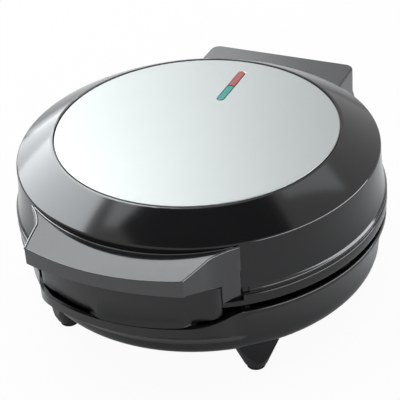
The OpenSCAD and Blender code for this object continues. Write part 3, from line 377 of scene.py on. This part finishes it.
class Bench:
    """Modelling steps, each done as by hand with Blender's own operators."""

    FLAT_DEG = 0.4  # least bend between faces that are not one flat face
    SHARP_DEG = 35.0  # least bend of an edge that gets rounded
    BEAD_STEPS = 4

    @staticmethod
    def clear() -> None:
        """Leave edit mode and deselect everything."""
        if bpy.context.object is not None and bpy.context.object.mode != "OBJECT":
            bpy.ops.object.mode_set(mode="OBJECT")
        bpy.ops.object.select_all(action="DESELECT")

    @classmethod
    def hold(cls, piece: bpy.types.Object) -> None:
        """Make a piece the only selected and active one.

        Args:
            piece: The piece.
        """
        cls.clear()
        piece.select_set(True)
        bpy.context.view_layer.objects.active = piece

    @classmethod
    def cylinder(cls, name: str, radius: float, height: float, centre: Point,
                 sides: int) -> bpy.types.Object:
        """Add an upright cylinder.

        Args:
            name: Name of the piece.
            radius: Its radius.
            height: Its height.
            centre: Its middle.
            sides: Number of its side faces.

        Returns:
            The new piece, with its place in its mesh.
        """
        cls.clear()
        bpy.ops.mesh.primitive_cylinder_add(vertices=sides, radius=radius, depth=height,
                                            location=centre)
        piece = bpy.context.object
        piece.name = name
        cls.hold(piece)
        bpy.ops.object.transform_apply(location=True, rotation=True, scale=True)
        return piece

    @classmethod
    def copy_of(cls, node: str, name: str) -> bpy.types.Object:
        """Copy a CAD node's mesh, merge its loose triangles and join those that lie flat.

        Args:
            node: The CAD node.
            name: Name of the copy.

        Returns:
            The copy.
        """
        piece = add_object(name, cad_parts[node].data.copy())
        cls.hold(piece)
        if piece.data.has_custom_normals:
            bpy.ops.mesh.customdata_custom_splitnormals_clear()
        bpy.ops.object.mode_set(mode="EDIT")
        bpy.ops.mesh.select_all(action="SELECT")
        bpy.ops.mesh.remove_doubles(threshold=HAIR)
        bpy.ops.mesh.dissolve_limited(angle_limit=math.radians(cls.FLAT_DEG))
        bpy.ops.object.mode_set(mode="OBJECT")
        return piece

    @classmethod
    def pick(cls, piece: bpy.types.Object, part: Part, test: Test) -> int:
        """Select what passes a test, and leave the piece in edit mode.

        Args:
            piece: The piece.
            part: Vertices, sharp edges or faces.
            test: Called with the middle and the normal (or an edge's direction) of each.

        Returns:
            The number of selected ones.
        """
        cls.hold(piece)
        bpy.ops.object.mode_set(mode="EDIT")
        bpy.ops.mesh.select_mode(type=part.value)
        bpy.ops.mesh.select_all(action="DESELECT")
        if part is Part.EDGE:
            bpy.ops.mesh.edges_select_sharp(sharpness=math.radians(cls.SHARP_DEG))
        bpy.ops.object.mode_set(mode="OBJECT")
        mesh = piece.data
        count = 0
        if part is Part.EDGE:
            keep = []
            for edge in mesh.edges:
                one, two = (mesh.vertices[index].co for index in edge.vertices)
                keep.append(edge.select and test((one + two) / 2, (two - one).normalized()))
            for group in (mesh.vertices, mesh.edges, mesh.polygons):
                group.foreach_set("select", [False] * len(group))
            for edge, chosen in zip(mesh.edges, keep):
                edge.select = chosen
                count += chosen
        else:
            for item in mesh.polygons if part is Part.FACE else mesh.vertices:
                middle = item.center if part is Part.FACE else item.co
                item.select = test(middle, item.normal)
                count += item.select
        bpy.ops.object.mode_set(mode="EDIT")
        return count

    @classmethod
    def slice(cls, piece: bpy.types.Object, place: Point, normal: Point,
              trim: bool = False) -> None:
        """Add a line of edges all round a piece, where a plane meets it.

        Args:
            piece: The piece.
            place: A point of the plane.
            normal: The plane's normal.
            trim: Whether the piece ends there, and keeps only the normal's side.
        """
        cls.pick(piece, Part.FACE, anywhere)
        bpy.ops.mesh.bisect(plane_co=place, plane_no=normal, use_fill=trim, clear_inner=trim)
        bpy.ops.object.mode_set(mode="OBJECT")

    @classmethod
    def round_edges(cls, piece: bpy.types.Object, test: Test, radius: float, steps: int) -> None:
        """Round the sharp edges that pass a test.

        Args:
            piece: The piece.
            test: Called with each edge's middle and direction.
            radius: Radius of the rounding.
            steps: Number of its steps.
        """
        count = cls.pick(piece, Part.EDGE, test)
        if count:
            bpy.ops.mesh.bevel(offset=radius, segments=steps, affect="EDGES", clamp_overlap=False)
        bpy.ops.object.mode_set(mode="OBJECT")
        LOG.info("%s: rounded %d edges", piece.name, count)

    @classmethod
    def bead(cls, name: str, line: Sequence[Point], radius: float) -> bpy.types.Object:
        """Make a round bead along a line.

        Args:
            name: The bead's name.
            line: The points of its middle.
            radius: Its radius.

        Returns:
            The bead, as a mesh with closed ends.
        """
        cls.clear()
        curve = bpy.data.curves.new(name, "CURVE")
        curve.dimensions = "3D"
        curve.bevel_depth = radius
        curve.bevel_resolution = cls.BEAD_STEPS
        curve.use_fill_caps = True
        path = curve.splines.new("POLY")
        path.points.add(len(line) - 1)
        for point, place in zip(path.points, line):
            point.co = (*place, 1.0)
        cls.hold(add_object(name, curve))
        bpy.ops.object.convert(target="MESH")
        return bpy.context.object

    @classmethod
    def hull(cls, pieces: Sequence[bpy.types.Object]) -> bpy.types.Object:
        """Wrap several pieces in one convex skin.

        Args:
            pieces: The pieces, which are used up.

        Returns:
            The skin.
        """
        cls.clear()
        for piece in pieces:
            piece.select_set(True)
        skin = pieces[0]
        bpy.context.view_layer.objects.active = skin
        bpy.ops.object.join()
        cls.pick(skin, Part.FACE, anywhere)
        bpy.ops.mesh.convex_hull()
        bpy.ops.object.mode_set(mode="OBJECT")
        return skin

    @classmethod
    def combine(cls, piece: bpy.types.Object, tool: bpy.types.Object, how: Merge) -> None:
        """Cut a piece with a tool, or weld the two, and remove the tool.

        Args:
            piece: The piece.
            tool: The other solid.
            how: Cut or weld.
        """
        cls.hold(piece)
        change = piece.modifiers.new(how.name, "BOOLEAN")
        change.operation, change.object, change.solver = how.value, tool, "EXACT"
        bpy.ops.object.modifier_apply(modifier=change.name)
        bpy.data.objects.remove(tool)

    @classmethod
    def finish(cls, piece: bpy.types.Object, body: Body, slot: str, finish: Finish,
               *nodes: str, smooth_deg: float = 32.0) -> None:
        """Smooth a piece, dress it, hang it on its body's empty and hide the CAD nodes that it
        stands for.

        Args:
            piece: The piece.
            body: The body that it rides on.
            slot: Name of a material slot; not used.
            finish: Its finish.
            *nodes: The CAD nodes that it stands for.
            smooth_deg: Greatest bend that still looks smooth.
        """
        cls.hold(piece)
        bpy.ops.object.shade_smooth_by_angle(angle=math.radians(smooth_deg))
        weight = piece.modifiers.new("weight", "WEIGHTED_NORMAL")
        weight.keep_sharp = True
        bpy.ops.object.modifier_apply(modifier=weight.name)
        piece.data.materials.clear()
        piece.data.materials.append(finish.material())
        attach(piece, body.value)
        if nodes:
            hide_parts(*nodes)
        cls.clear()
        LOG.info("built %s: %d faces", piece.name, len(piece.data.polygons))


# ---------------------------------------------------------------- lid


@dataclass(frozen=True)
class SteelDisc:
    """Brushed steel disc that lies in the lid, with the slot of the signal lenses."""

    radius: float = 84.5 * MM
    thickness: float = 1.2 * MM
    rim_radius: float = 0.45 * MM
    rim_depth: float = 0.1 * MM
    sides: int = 256
    slot_length: float = 38 * MM
    slot_width: float = 4.8 * MM
    slot_y: float = 53 * MM
    slot_sides: int = 48
    cut_margin: float = 2 * MM

    @property
    def slot_middle(self) -> float:
        """Place of the slot's middle along Y."""
        return self.slot_y + AXIS_Y

    def slot_tool(self, name: str, grow: float, low: float, high: float) -> bpy.types.Object:
        """Make an upright prism with round ends at the slot.

        Args:
            name: The prism's name.
            grow: Extra width on each side.
            low: Height of its underside.
            high: Height of its top.

        Returns:
            The prism.
        """
        radius = self.slot_width / 2 + grow
        middle = self.slot_middle
        tool = Bench.cylinder(name, radius, high - low, (0.0, middle, (low + high) / 2),
                              self.slot_sides)
        stretch = self.slot_length / 2 + grow - radius
        for side in (1, -1):
            Bench.pick(tool, Part.VERTEX, lambda at, _: side * (at.y - middle) > HAIR)
            bpy.ops.transform.translate(value=(0.0, side * stretch, 0.0))
            bpy.ops.object.mode_set(mode="OBJECT")
        return tool

    def build(self) -> None:
        """Model the disc: a cylinder with a rounded rim, cut by the slot."""
        low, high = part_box("steel_disc")
        top = high[2]
        disc = Bench.cylinder("disc_plate", self.radius, self.thickness,
                              (0.0, AXIS_Y, top - self.thickness / 2), self.sides)
        cutter = self.slot_tool("slot_tool", 0.0, low[2] - self.cut_margin, top + self.cut_margin)
        Bench.combine(disc, cutter, Merge.CUT)
        Bench.round_edges(disc, lambda at, _: at.z > top - self.rim_depth, self.rim_radius, 3)
        Bench.finish(disc, Body.LID, "disc_steel", Finishes.disc_steel, "steel_disc")


@dataclass(frozen=True)
class SignalLenses:
    """The red and the green lens bar in the disc's slot, with softly rounded tops."""

    disc: SteelDisc
    play: float = 0.15 * MM
    half_split: float = 0.25 * MM
    edge_radius: float = 0.6 * MM
    edge_depth: float = 0.1 * MM

    def build(self) -> None:
        """Model each lens as its half of a bar that fills the slot."""
        for colour, side, finish in (("red", 1, Finishes.red), ("green", -1, Finishes.green)):
            low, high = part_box(f"{colour}_lens")
            top = high[2]
            lens = self.disc.slot_tool(f"{colour}_lens_bar", -self.play, low[2], top)
            Bench.slice(lens, (0.0, self.disc.slot_middle + side * self.half_split, 0.0),
                        (0.0, side, 0.0), trim=True)
            Bench.round_edges(lens, lambda at, _: at.z > top - self.edge_depth,
                              self.edge_radius, 4)
            Bench.finish(lens, Body.LID, f"{colour}_lens", finish, f"{colour}_lens")


@dataclass(frozen=True)
class LidShell:
    """Round cover, whose crown is shaded as the turned surface that its facets stand for."""

    inner: float = 86.8 * MM
    outer: float = 107.6 * MM
    low: float = 97 * MM
    degree: int = 5
    least_upward: float = 0.5  # least z of the normal of a crown face
    least_agreement: float = 0.97  # least cosine between a face's normal and its turned one

    def build(self) -> None:
        """Take the cover's solid, smooth it and turn its crown's normals."""
        shell = Bench.copy_of("lid_shell", "lid_cover")
        Bench.finish(shell, Body.LID, "lid_plastic", Finishes.gloss_black, "lid_shell")
        self._turn_normals(shell.data)

    def _turn_normals(self, mesh: bpy.types.Mesh) -> None:
        """Give the crown's corners the normals of one smooth profile, turned about the axis.

        Args:
            mesh: The cover's finished mesh.
        """
        reaches = [math.hypot(vertex.co.x, vertex.co.y - AXIS_Y) for vertex in mesh.vertices]
        crown = [face for face in mesh.polygons if face.normal.z > self.least_upward and all(
            mesh.vertices[index].co.z > self.low and self.inner < reaches[index] < self.outer
            for index in face.vertices)]
        points = sorted({index for face in crown for index in face.vertices})
        scale = self.outer - self.inner
        profile = numpy.polynomial.Polynomial.fit(
            [(reaches[index] - self.inner) / scale for index in points],
            [mesh.vertices[index].co.z / scale for index in points], self.degree)
        slope = profile.deriv()
        normals = [Vector(corner.vector) for corner in mesh.corner_normals]
        turned = 0
        for face in crown:
            for loop in face.loop_indices:
                index = mesh.loops[loop].vertex_index
                at, reach = mesh.vertices[index].co, reaches[index]
                fall = -float(slope((reach - self.inner) / scale))
                normal = Vector((at.x * fall / reach, (at.y - AXIS_Y) * fall / reach, 1.0))
                normal.normalize()
                if normal.dot(face.normal) > self.least_agreement:
                    normals[loop] = normal
                    turned += 1
        mesh.normals_split_custom_set(normals)
        LOG.info("lid cover: turned normals at %d corners", turned)


@dataclass(frozen=True)
class LidHandle:
    """Bowed handle of the lid, with soft edges and thin beads round its hollowed top."""

    top_radius: float = 0.5 * MM
    top_depth: float = 6.5 * MM
    clear_of_lid: float = 113.6 * MM
    level: float = 0.5  # greatest z of the direction of an edge that lies level
    # the bead along each end of the top
    bead_radius: float = 0.7 * MM
    bead_from: float = 46.5 * MM
    bead_reach: float = 109.0 * MM
    bead_in: float = 0.45 * MM
    bead_sink: float = 0.25 * MM
    bead_step: float = 0.5 * MM
    bead_backstep: float = 0.1 * MM
    same_place_digits: int = 4
    # the bead where the top meets the lid's wall
    wall_radius: float = 109.0 * MM
    wall_height: float = 93.4 * MM
    wall_half: float = 61 * MM
    wall_steps: int = 24
    wall_bead_radius: float = 0.6 * MM
    dish_radius: float = 600 * MM
    tilt_slope: float = 0.0262
    # rods, as radius and ends, whose hull fills the corner between the handle's root and the lid
    cheek: Sequence[tuple[float, Sequence[Point]]] = (
        (3.0 * MM, ((0.0596, -0.0918, 0.0925), (0.0615, -0.0932, 0.0695))),
        (1.5 * MM, ((0.0528, -0.0995, 0.0925), (0.0578, -0.0965, 0.0695))),
    )

    def build(self) -> None:
        """Take the handle's solid, round the outer edges of its top and add beads and cheeks."""
        _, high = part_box("lid_handle")
        handle = Bench.copy_of("lid_handle", "lid_grip")
        floor = high[2] - self.top_depth

        def on_top(at: Vector, way: Vector) -> bool:
            """Tell an edge round the top that lies clear of the lid."""
            reach = math.hypot(at.x, at.y - AXIS_Y)
            return at.z > floor and reach > self.clear_of_lid and abs(way.z) < self.level

        lines = [self._side_line(handle, side, floor) for side in (-1, 1)]
        Bench.round_edges(handle, on_top, self.top_radius, 4)
        for side, line in zip(("left", "right"), lines):
            LOG.info("%s bead: %d points", side, len(line))
            bead = Bench.bead(f"{side}_bead", line, self.bead_radius)
            Bench.combine(handle, bead, Merge.WELD)
        wall_bead = Bench.bead("wall_bead", self._wall_line(), self.wall_bead_radius)
        Bench.combine(handle, wall_bead, Merge.WELD)
        for side in (-1, 1):
            rods = [Bench.bead(f"cheek_{number}", [(side * x, y, z) for x, y, z in ends], radius)
                    for number, (radius, ends) in enumerate(self.cheek)]
            Bench.combine(handle, Bench.hull(rods), Merge.WELD)
        Bench.finish(handle, Body.LID, "handle_plastic", Finishes.handle_black, "lid_handle")

    def _wall_line(self) -> list[Point]:
        """Follow the corner where the handle's hollow top meets the lid's wall.

        Returns:
            The points from the left end to the right end.
        """
        line = []
        for step in range(-self.wall_steps, self.wall_steps + 1):
            x = self.wall_half * step / self.wall_steps
            depth = math.sqrt(self.wall_radius ** 2 - x ** 2)
            fall = (self.wall_radius - depth) * self.tilt_slope
            line.append((x, AXIS_Y - depth,
                         self.wall_height + x ** 2 / (2 * self.dish_radius) - fall))
        return line

    def _side_line(self, handle: bpy.types.Object, side: int, floor: float) -> list[Point]:
        """Find the top edge at one end of the handle, moved to the middle of its bead.

        Args:
            handle: The handle, before its edges are rounded.
            side: 1 for the right end, -1 for the left end.
            floor: Height above which the top lies.

        Returns:
            The bead's points, from the front corner to the lid.
        """
        highest: dict[tuple[float, float], Point] = {}
        for vertex in handle.data.vertices:
            at = vertex.co
            reach = math.hypot(at.x, at.y - AXIS_Y)
            if side * at.x > self.bead_from and at.z > floor and reach > self.bead_reach:
                key = (round(at.x, self.same_place_digits), round(at.y, self.same_place_digits))
                if key not in highest or highest[key][2] < at.z:
                    highest[key] = (at.x - side * self.bead_in, at.y, at.z - self.bead_sink)
        line: list[Point] = []
        for place in sorted(highest.values(), key=lambda at: at[1]):
            if not line or (side * (place[0] - line[-1][0]) > -self.bead_backstep
                            and math.dist(place, line[-1]) > self.bead_step):
                line.append(place)
        return line


@dataclass(frozen=True)
class HingeHood:
    """Hood over the hinge at the back of the lid."""

    top_radius: float = 1.3 * MM
    top_depth: float = 0.3 * MM

    def build(self) -> None:
        """Take the hood's solid and round the edges of its top."""
        _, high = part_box("hinge_hood")
        hood = Bench.copy_of("hinge_hood", "rear_hood")
        floor = high[2] - self.top_depth
        Bench.round_edges(hood, lambda at, _: at.z > floor, self.top_radius, 4)
        Bench.finish(hood, Body.LID, "hood_plastic", Finishes.hood_black, "hinge_hood")


# ---------------------------------------------------------------- base


@dataclass(frozen=True)
class BaseBowl:
    """Base with its lip, shaded as the rounded surface that its facets stand for."""

    smooth_deg: float = 28.0

    def build(self) -> None:
        """Take the base's solid, join its facets and smooth it."""
        bowl = Bench.copy_of("base_shell", "base_bowl")
        Bench.finish(bowl, Body.BASE, "base_plastic", Finishes.base_black, "base_shell",
                     smooth_deg=self.smooth_deg)


@dataclass(frozen=True)
class LowerHandle:
    """Bowed block under the lid's handle, whose front flares softly into the base's lip."""

    bow_radius: float = 99 * MM
    reach: float = 120 * MM
    front_margin: float = 0.3 * MM
    pad_left: float = -16 * MM
    pad_right: float = 45 * MM
    end_blend: float = 9 * MM
    end_shares: Sequence[float] = (0.33, 0.66, 1.0)
    end_margin: float = 0.01
    flare: float = 3.1 * MM
    flare_height: float = 13 * MM
    levels: int = 9
    level_growth: float = 1.4
    edge_radius: float = 0.6 * MM
    edge_depth: float = 4 * MM

    def build(self) -> None:
        """Take the block's solid, draw its foot forward and round its top edge."""
        low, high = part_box("base_handle")
        block = Bench.copy_of("base_handle", "lower_grip")
        for step in range(1, self.levels + 1):
            height = low[2] + self.flare_height * (step / self.levels) ** self.level_growth
            Bench.slice(block, (0.0, 0.0, height), (0.0, 0.0, 1.0))
        for end, inward in ((self.pad_left, 1), (self.pad_right, -1)):
            for share in self.end_shares:
                stop = end + inward * self.end_blend * share
                Bench.slice(block, (stop, 0.0, 0.0), (1.0, 0.0, 0.0))
        self._draw_out(block, low[2])
        floor = high[2] - self.edge_depth
        Bench.round_edges(block, lambda at, _: at.z > floor, self.edge_radius, 3)
        Bench.finish(block, Body.BASE, "handle_plastic", Finishes.block_black, "base_handle")

    def _draw_out(self, block: bpy.types.Object, bottom: float) -> None:
        """Push the front of the foot outwards, most at its bottom and least at its ends.

        Args:
            block: The block.
            bottom: Height of its underside.
        """
        centre_y = AXIS_Y - (self.reach - self.bow_radius)
        moved = 0
        for vertex in block.data.vertices:
            at = vertex.co
            out = Vector((at.x, at.y - centre_y, 0.0))
            if abs(out.length - self.bow_radius) > self.front_margin or out.y > 0:
                continue
            ends = min(at.x - self.pad_left, self.pad_right - at.x) / self.end_blend
            rise = (at.z - bottom) / self.flare_height
            if ends < -self.end_margin or rise >= 1.0:
                continue
            ease = min(1.0, max(0.0, ends))
            ease = ease * ease * (3 - 2 * ease)
            vertex.co += out.normalized() * self.flare * ease * (1 - rise) ** 2
            moved += 1
        LOG.info("lower handle: drew out %d points", moved)


# ---------------------------------------------------------------- stage


@dataclass(frozen=True)
class Camera:
    """The camera, placed round the middle of the lid's lower edge.

    The picture is taken to be picture_px wide and high.
    """

    target: Point = (0.0, AXIS_Y, 67 * MM)
    distance: float = 0.900
    azimuth_deg: float = 26.2
    elevation_deg: float = 32.60
    pan_deg: float = -0.08
    tilt_deg: float = -0.50
    roll_deg: float = -4.29
    focal_px: float = 1483.17
    picture_px: float = 400.0
    sensor_mm: float = 36.0
    farthest: float = 20.0

    def build(self) -> None:
        """Make the camera and set it as the scene's."""
        azimuth, elevation = math.radians(self.azimuth_deg), math.radians(self.elevation_deg)
        away = Vector((math.sin(azimuth) * math.cos(elevation),
                       -math.cos(azimuth) * math.cos(elevation), math.sin(elevation)))
        forward = -away
        right = forward.cross(Vector((0, 0, 1))).normalized()
        up = right.cross(forward)
        pan, tilt, roll = (math.radians(a) for a in (self.pan_deg, self.tilt_deg, self.roll_deg))
        forward = forward * math.cos(pan) + right * math.sin(pan)
        right = forward.cross(up).normalized()
        forward = forward * math.cos(tilt) + up * math.sin(tilt)
        up = right.cross(forward)
        turned_right = right * math.cos(roll) + up * math.sin(roll)
        turned_up = up * math.cos(roll) - right * math.sin(roll)
        data = bpy.data.cameras.new("camera")
        data.sensor_width = self.sensor_mm
        data.lens = self.focal_px / self.picture_px * self.sensor_mm
        data.clip_end = self.farthest
        camera = add_object("camera", data)
        turn = Matrix((turned_right, turned_up, -forward)).transposed().to_4x4()
        place = Vector(self.target) + away * self.distance
        camera.matrix_world = Matrix.Translation(place) @ turn
        bpy.context.scene.camera = camera


def facing(place: Point) -> Euler:
    """Find the turn of a light or a card at a place, so that it faces the object."""
    return (Vector(LIGHT_AIM) - Vector(place)).to_track_quat("-Z", "Y").to_euler()


@dataclass(frozen=True)
class SoftBox:
    """A rectangular studio light that faces the object."""

    name: str
    place: Point
    width: float
    height: float
    radiance: float
    rays: Rays
    colour: Colour = (1.0, 1.0, 1.0)

    def build(self) -> None:
        """Make the area light."""
        data = bpy.data.lights.new(self.name, "AREA")
        data.shape = "RECTANGLE"
        data.size, data.size_y = self.width, self.height
        data.energy = self.radiance * math.pi * self.width * self.height
        data.color = self.colour
        light = add_object(self.name, data)
        light.location = self.place
        light.rotation_euler = facing(self.place)
        light.visible_camera = False
        light.visible_diffuse = self.rays is Rays.SOFT
        light.visible_glossy = self.rays is Rays.GLOSS


@dataclass(frozen=True)
class Flag:
    """A dark card that only shows in gloss, as a studio flag does."""

    name: str
    place: Point
    width: float
    height: float
    glow: float
    felt_colour: Colour = (0.01, 0.01, 0.01)

    def build(self) -> None:
        """Make the card."""
        bpy.ops.mesh.primitive_plane_add(size=1.0)
        card = bpy.context.object
        card.name = self.name
        card.scale = (self.width, self.height, 1.0)
        card.location = self.place
        card.rotation_euler = facing(self.place)
        material = new_material(f"{self.name}_felt")
        set_inputs(material.node_tree.nodes["Principled BSDF"], {
            "Base Color": (*self.felt_colour, 1.0), "Roughness": 1.0, "Specular IOR Level": 0.0,
            "Emission Color": (1.0, 1.0, 1.0, 1.0), "Emission Strength": self.glow,
        })
        card.data.materials.append(material)
        card.visible_camera = False
        card.visible_diffuse = False
        card.visible_shadow = False


@dataclass(frozen=True)
class Stage:
    """Floor, background, lights and camera."""

    floor_size: float = 12.0
    floor_drop: float = 0.2 * MM
    floor_colour: Colour = (0.82, 0.82, 0.82)
    floor_roughness: float = 0.9
    floor_glow: float = 0.95
    floor_gloss: float = 0.15
    fill_colour: Colour = (0.9, 0.95, 1.0)
    fill_strength: float = 0.35
    light_centre: float = 80 * MM
    # soft lights: name, azimuth and elevation in degrees, distance, width, height, radiance
    soft_boxes: Sequence[tuple[str, float, float, float, float, float, float]] = (
        ("left_box", -65.0, 38.0, 1.5, 1.4, 1.1, 2.2),
        ("top_box", 0.0, 90.0, 1.5, 1.3, 1.3, 2.4),
    )
    # bright patches in the gloss: left, right azimuth and low, high elevation in degrees, radiance
    panels: Sequence[tuple[float, float, float, float, float]] = (
        (-104.0, -38.0, 15.0, 56.0, 7.2),
        (-104.0, -60.0, 60.0, 68.0, 2.2),
        (-64.0, -38.0, 1.0, 15.0, 3.4),
        (-38.0, -32.0, 20.0, 46.0, 1.5),
        (-32.0, -27.0, 20.0, 46.0, 2.0),
        (-27.0, -22.0, 20.0, 44.0, 1.8),
        (18.0, 36.0, 42.0, 63.0, 1.2),
        (42.0, 125.0, 3.0, 24.0, 9.0),
    )
    panel_distance: float = 3.0
    panel_colour: Colour = (0.93, 0.975, 1.0)
    # a small bright patch near the floor, given as the soft lights are
    low_panel: tuple[str, float, float, float, float, float, float] = (
        "low_panel", -45.0, 0.5, 1.3, 0.36, 0.13, 1.8)
    top_flag: Flag = Flag("top_flag", (0.14, -0.1, 1.3), 1.07, 1.15, glow=0.08)

    def build(self) -> None:
        """Set up the whole stage."""
        bpy.context.scene.view_settings.view_transform = "Standard"
        self.world()
        self.floor()
        Camera().build()
        self.boxes()
        self.top_flag.build()

    @staticmethod
    def _mix_by_ray(tree: bpy.types.NodeTree, shown: bpy.types.Node, other: bpy.types.Node,
                    seen: float = 1.0, gloss: float = 1.0) -> bpy.types.NodeSocket:
        """Mix two shaders by the kind of ray that meets them.

        Args:
            tree: The node tree that they are in.
            shown: The shader for rays from the camera, through glass and from gloss.
            other: The shader for all other rays.
            seen: Share of the first for rays from the camera and through glass.
            gloss: Share of the first for rays from gloss.

        Returns:
            The output socket of the mix.
        """
        path = add_node(tree, "LightPath")
        total = None
        for ray, value in (("Camera", seen), ("Transmission", seen), ("Glossy", gloss)):
            part = add_node(tree, "Math", {1: value, 2: 0.0}, operation="MULTIPLY_ADD")
            tree.links.new(path.outputs[f"Is {ray} Ray"], part.inputs[0])
            if total is not None:
                tree.links.new(total, part.inputs[2])
            total = part.outputs[0]
        mix = add_node(tree, "MixShader")
        for socket, source in zip(mix.inputs, (total, other.outputs[0], shown.outputs[0])):
            tree.links.new(source, socket)
        return mix.outputs[0]

    def world(self) -> None:
        """Make a white background for the camera, and a soft fill for everything else."""
        world = bpy.data.worlds.new("studio")
        bpy.context.scene.world = world
        world.use_nodes = True
        tree = world.node_tree
        tree.nodes.clear()
        output = add_node(tree, "OutputWorld")
        shown = add_node(tree, "Background", {"Strength": 1.0})
        fill = add_node(tree, "Background", {"Color": (*self.fill_colour, 1.0),
                                             "Strength": self.fill_strength})
        tree.links.new(self._mix_by_ray(tree, shown, fill), output.inputs["Surface"])

    def floor(self) -> None:
        """Make the plain pale floor, which keeps a faint shadow."""
        bpy.ops.mesh.primitive_plane_add(size=self.floor_size, location=(0, 0, -self.floor_drop))
        floor = bpy.context.object
        floor.name = "floor"
        material = new_material("floor_paper")
        tree = material.node_tree
        shader = tree.nodes["Principled BSDF"]
        set_inputs(shader, {"Base Color": (*self.floor_colour, 1.0),
                            "Roughness": self.floor_roughness, "Specular IOR Level": 0.0})
        glow = add_node(tree, "Emission", {"Strength": 1.0})
        mixed = self._mix_by_ray(tree, glow, shader, self.floor_glow, self.floor_gloss)
        tree.links.new(mixed, tree.nodes["Material Output"].inputs["Surface"])
        floor.data.materials.append(material)

    def boxes(self) -> None:
        """Set up the soft lights, and the bright surroundings that show in the gloss."""
        for name, azimuth, elevation, distance, width, height, radiance in self.soft_boxes:
            SoftBox(name, self.around(azimuth, elevation, distance), width, height, radiance,
                    Rays.SOFT).build()
        for number, (left, right, low, high, radiance) in enumerate(self.panels):
            azimuth, elevation = (left + right) / 2, (low + high) / 2
            width = 2 * self.panel_distance * math.tan(math.radians(right - left) / 2)
            height = 2 * self.panel_distance * math.tan(math.radians(high - low) / 2)
            place = self.around(azimuth, elevation, self.panel_distance)
            SoftBox(f"panel_{number}", place, width * math.cos(math.radians(elevation)), height,
                    radiance, Rays.GLOSS, self.panel_colour).build()
        name, azimuth, elevation, distance, width, height, radiance = self.low_panel
        SoftBox(name, self.around(azimuth, elevation, distance), width, height, radiance,
                Rays.GLOSS, self.panel_colour).build()

    def around(self, azimuth_deg: float, elevation_deg: float, distance: float) -> Point:
        """Find a place by its direction from the object.

        Args:
            azimuth_deg: Direction in plan, from +Y towards +X.
            elevation_deg: Height above the horizon.
            distance: Distance from the object's middle.

        Returns:
            The place.
        """
        azimuth, elevation = math.radians(azimuth_deg), math.radians(elevation_deg)
        return (distance * math.sin(azimuth) * math.cos(elevation),
                distance * math.cos(azimuth) * math.cos(elevation),
                self.light_centre + distance * math.sin(elevation))


def main() -> None:
    """Build the scene, one sub-assembly after another."""
    logging.basicConfig(level=logging.INFO, format="%(name)s: %(message)s")
    dress_nodes()
    disc = SteelDisc()
    for assembly in (disc, SignalLenses(disc), LidShell(), LidHandle(), HingeHood(), BaseBowl(),
                     LowerHandle()):
        assembly.build()
    Stage().build()


if __name__ == "__main__":
    main()
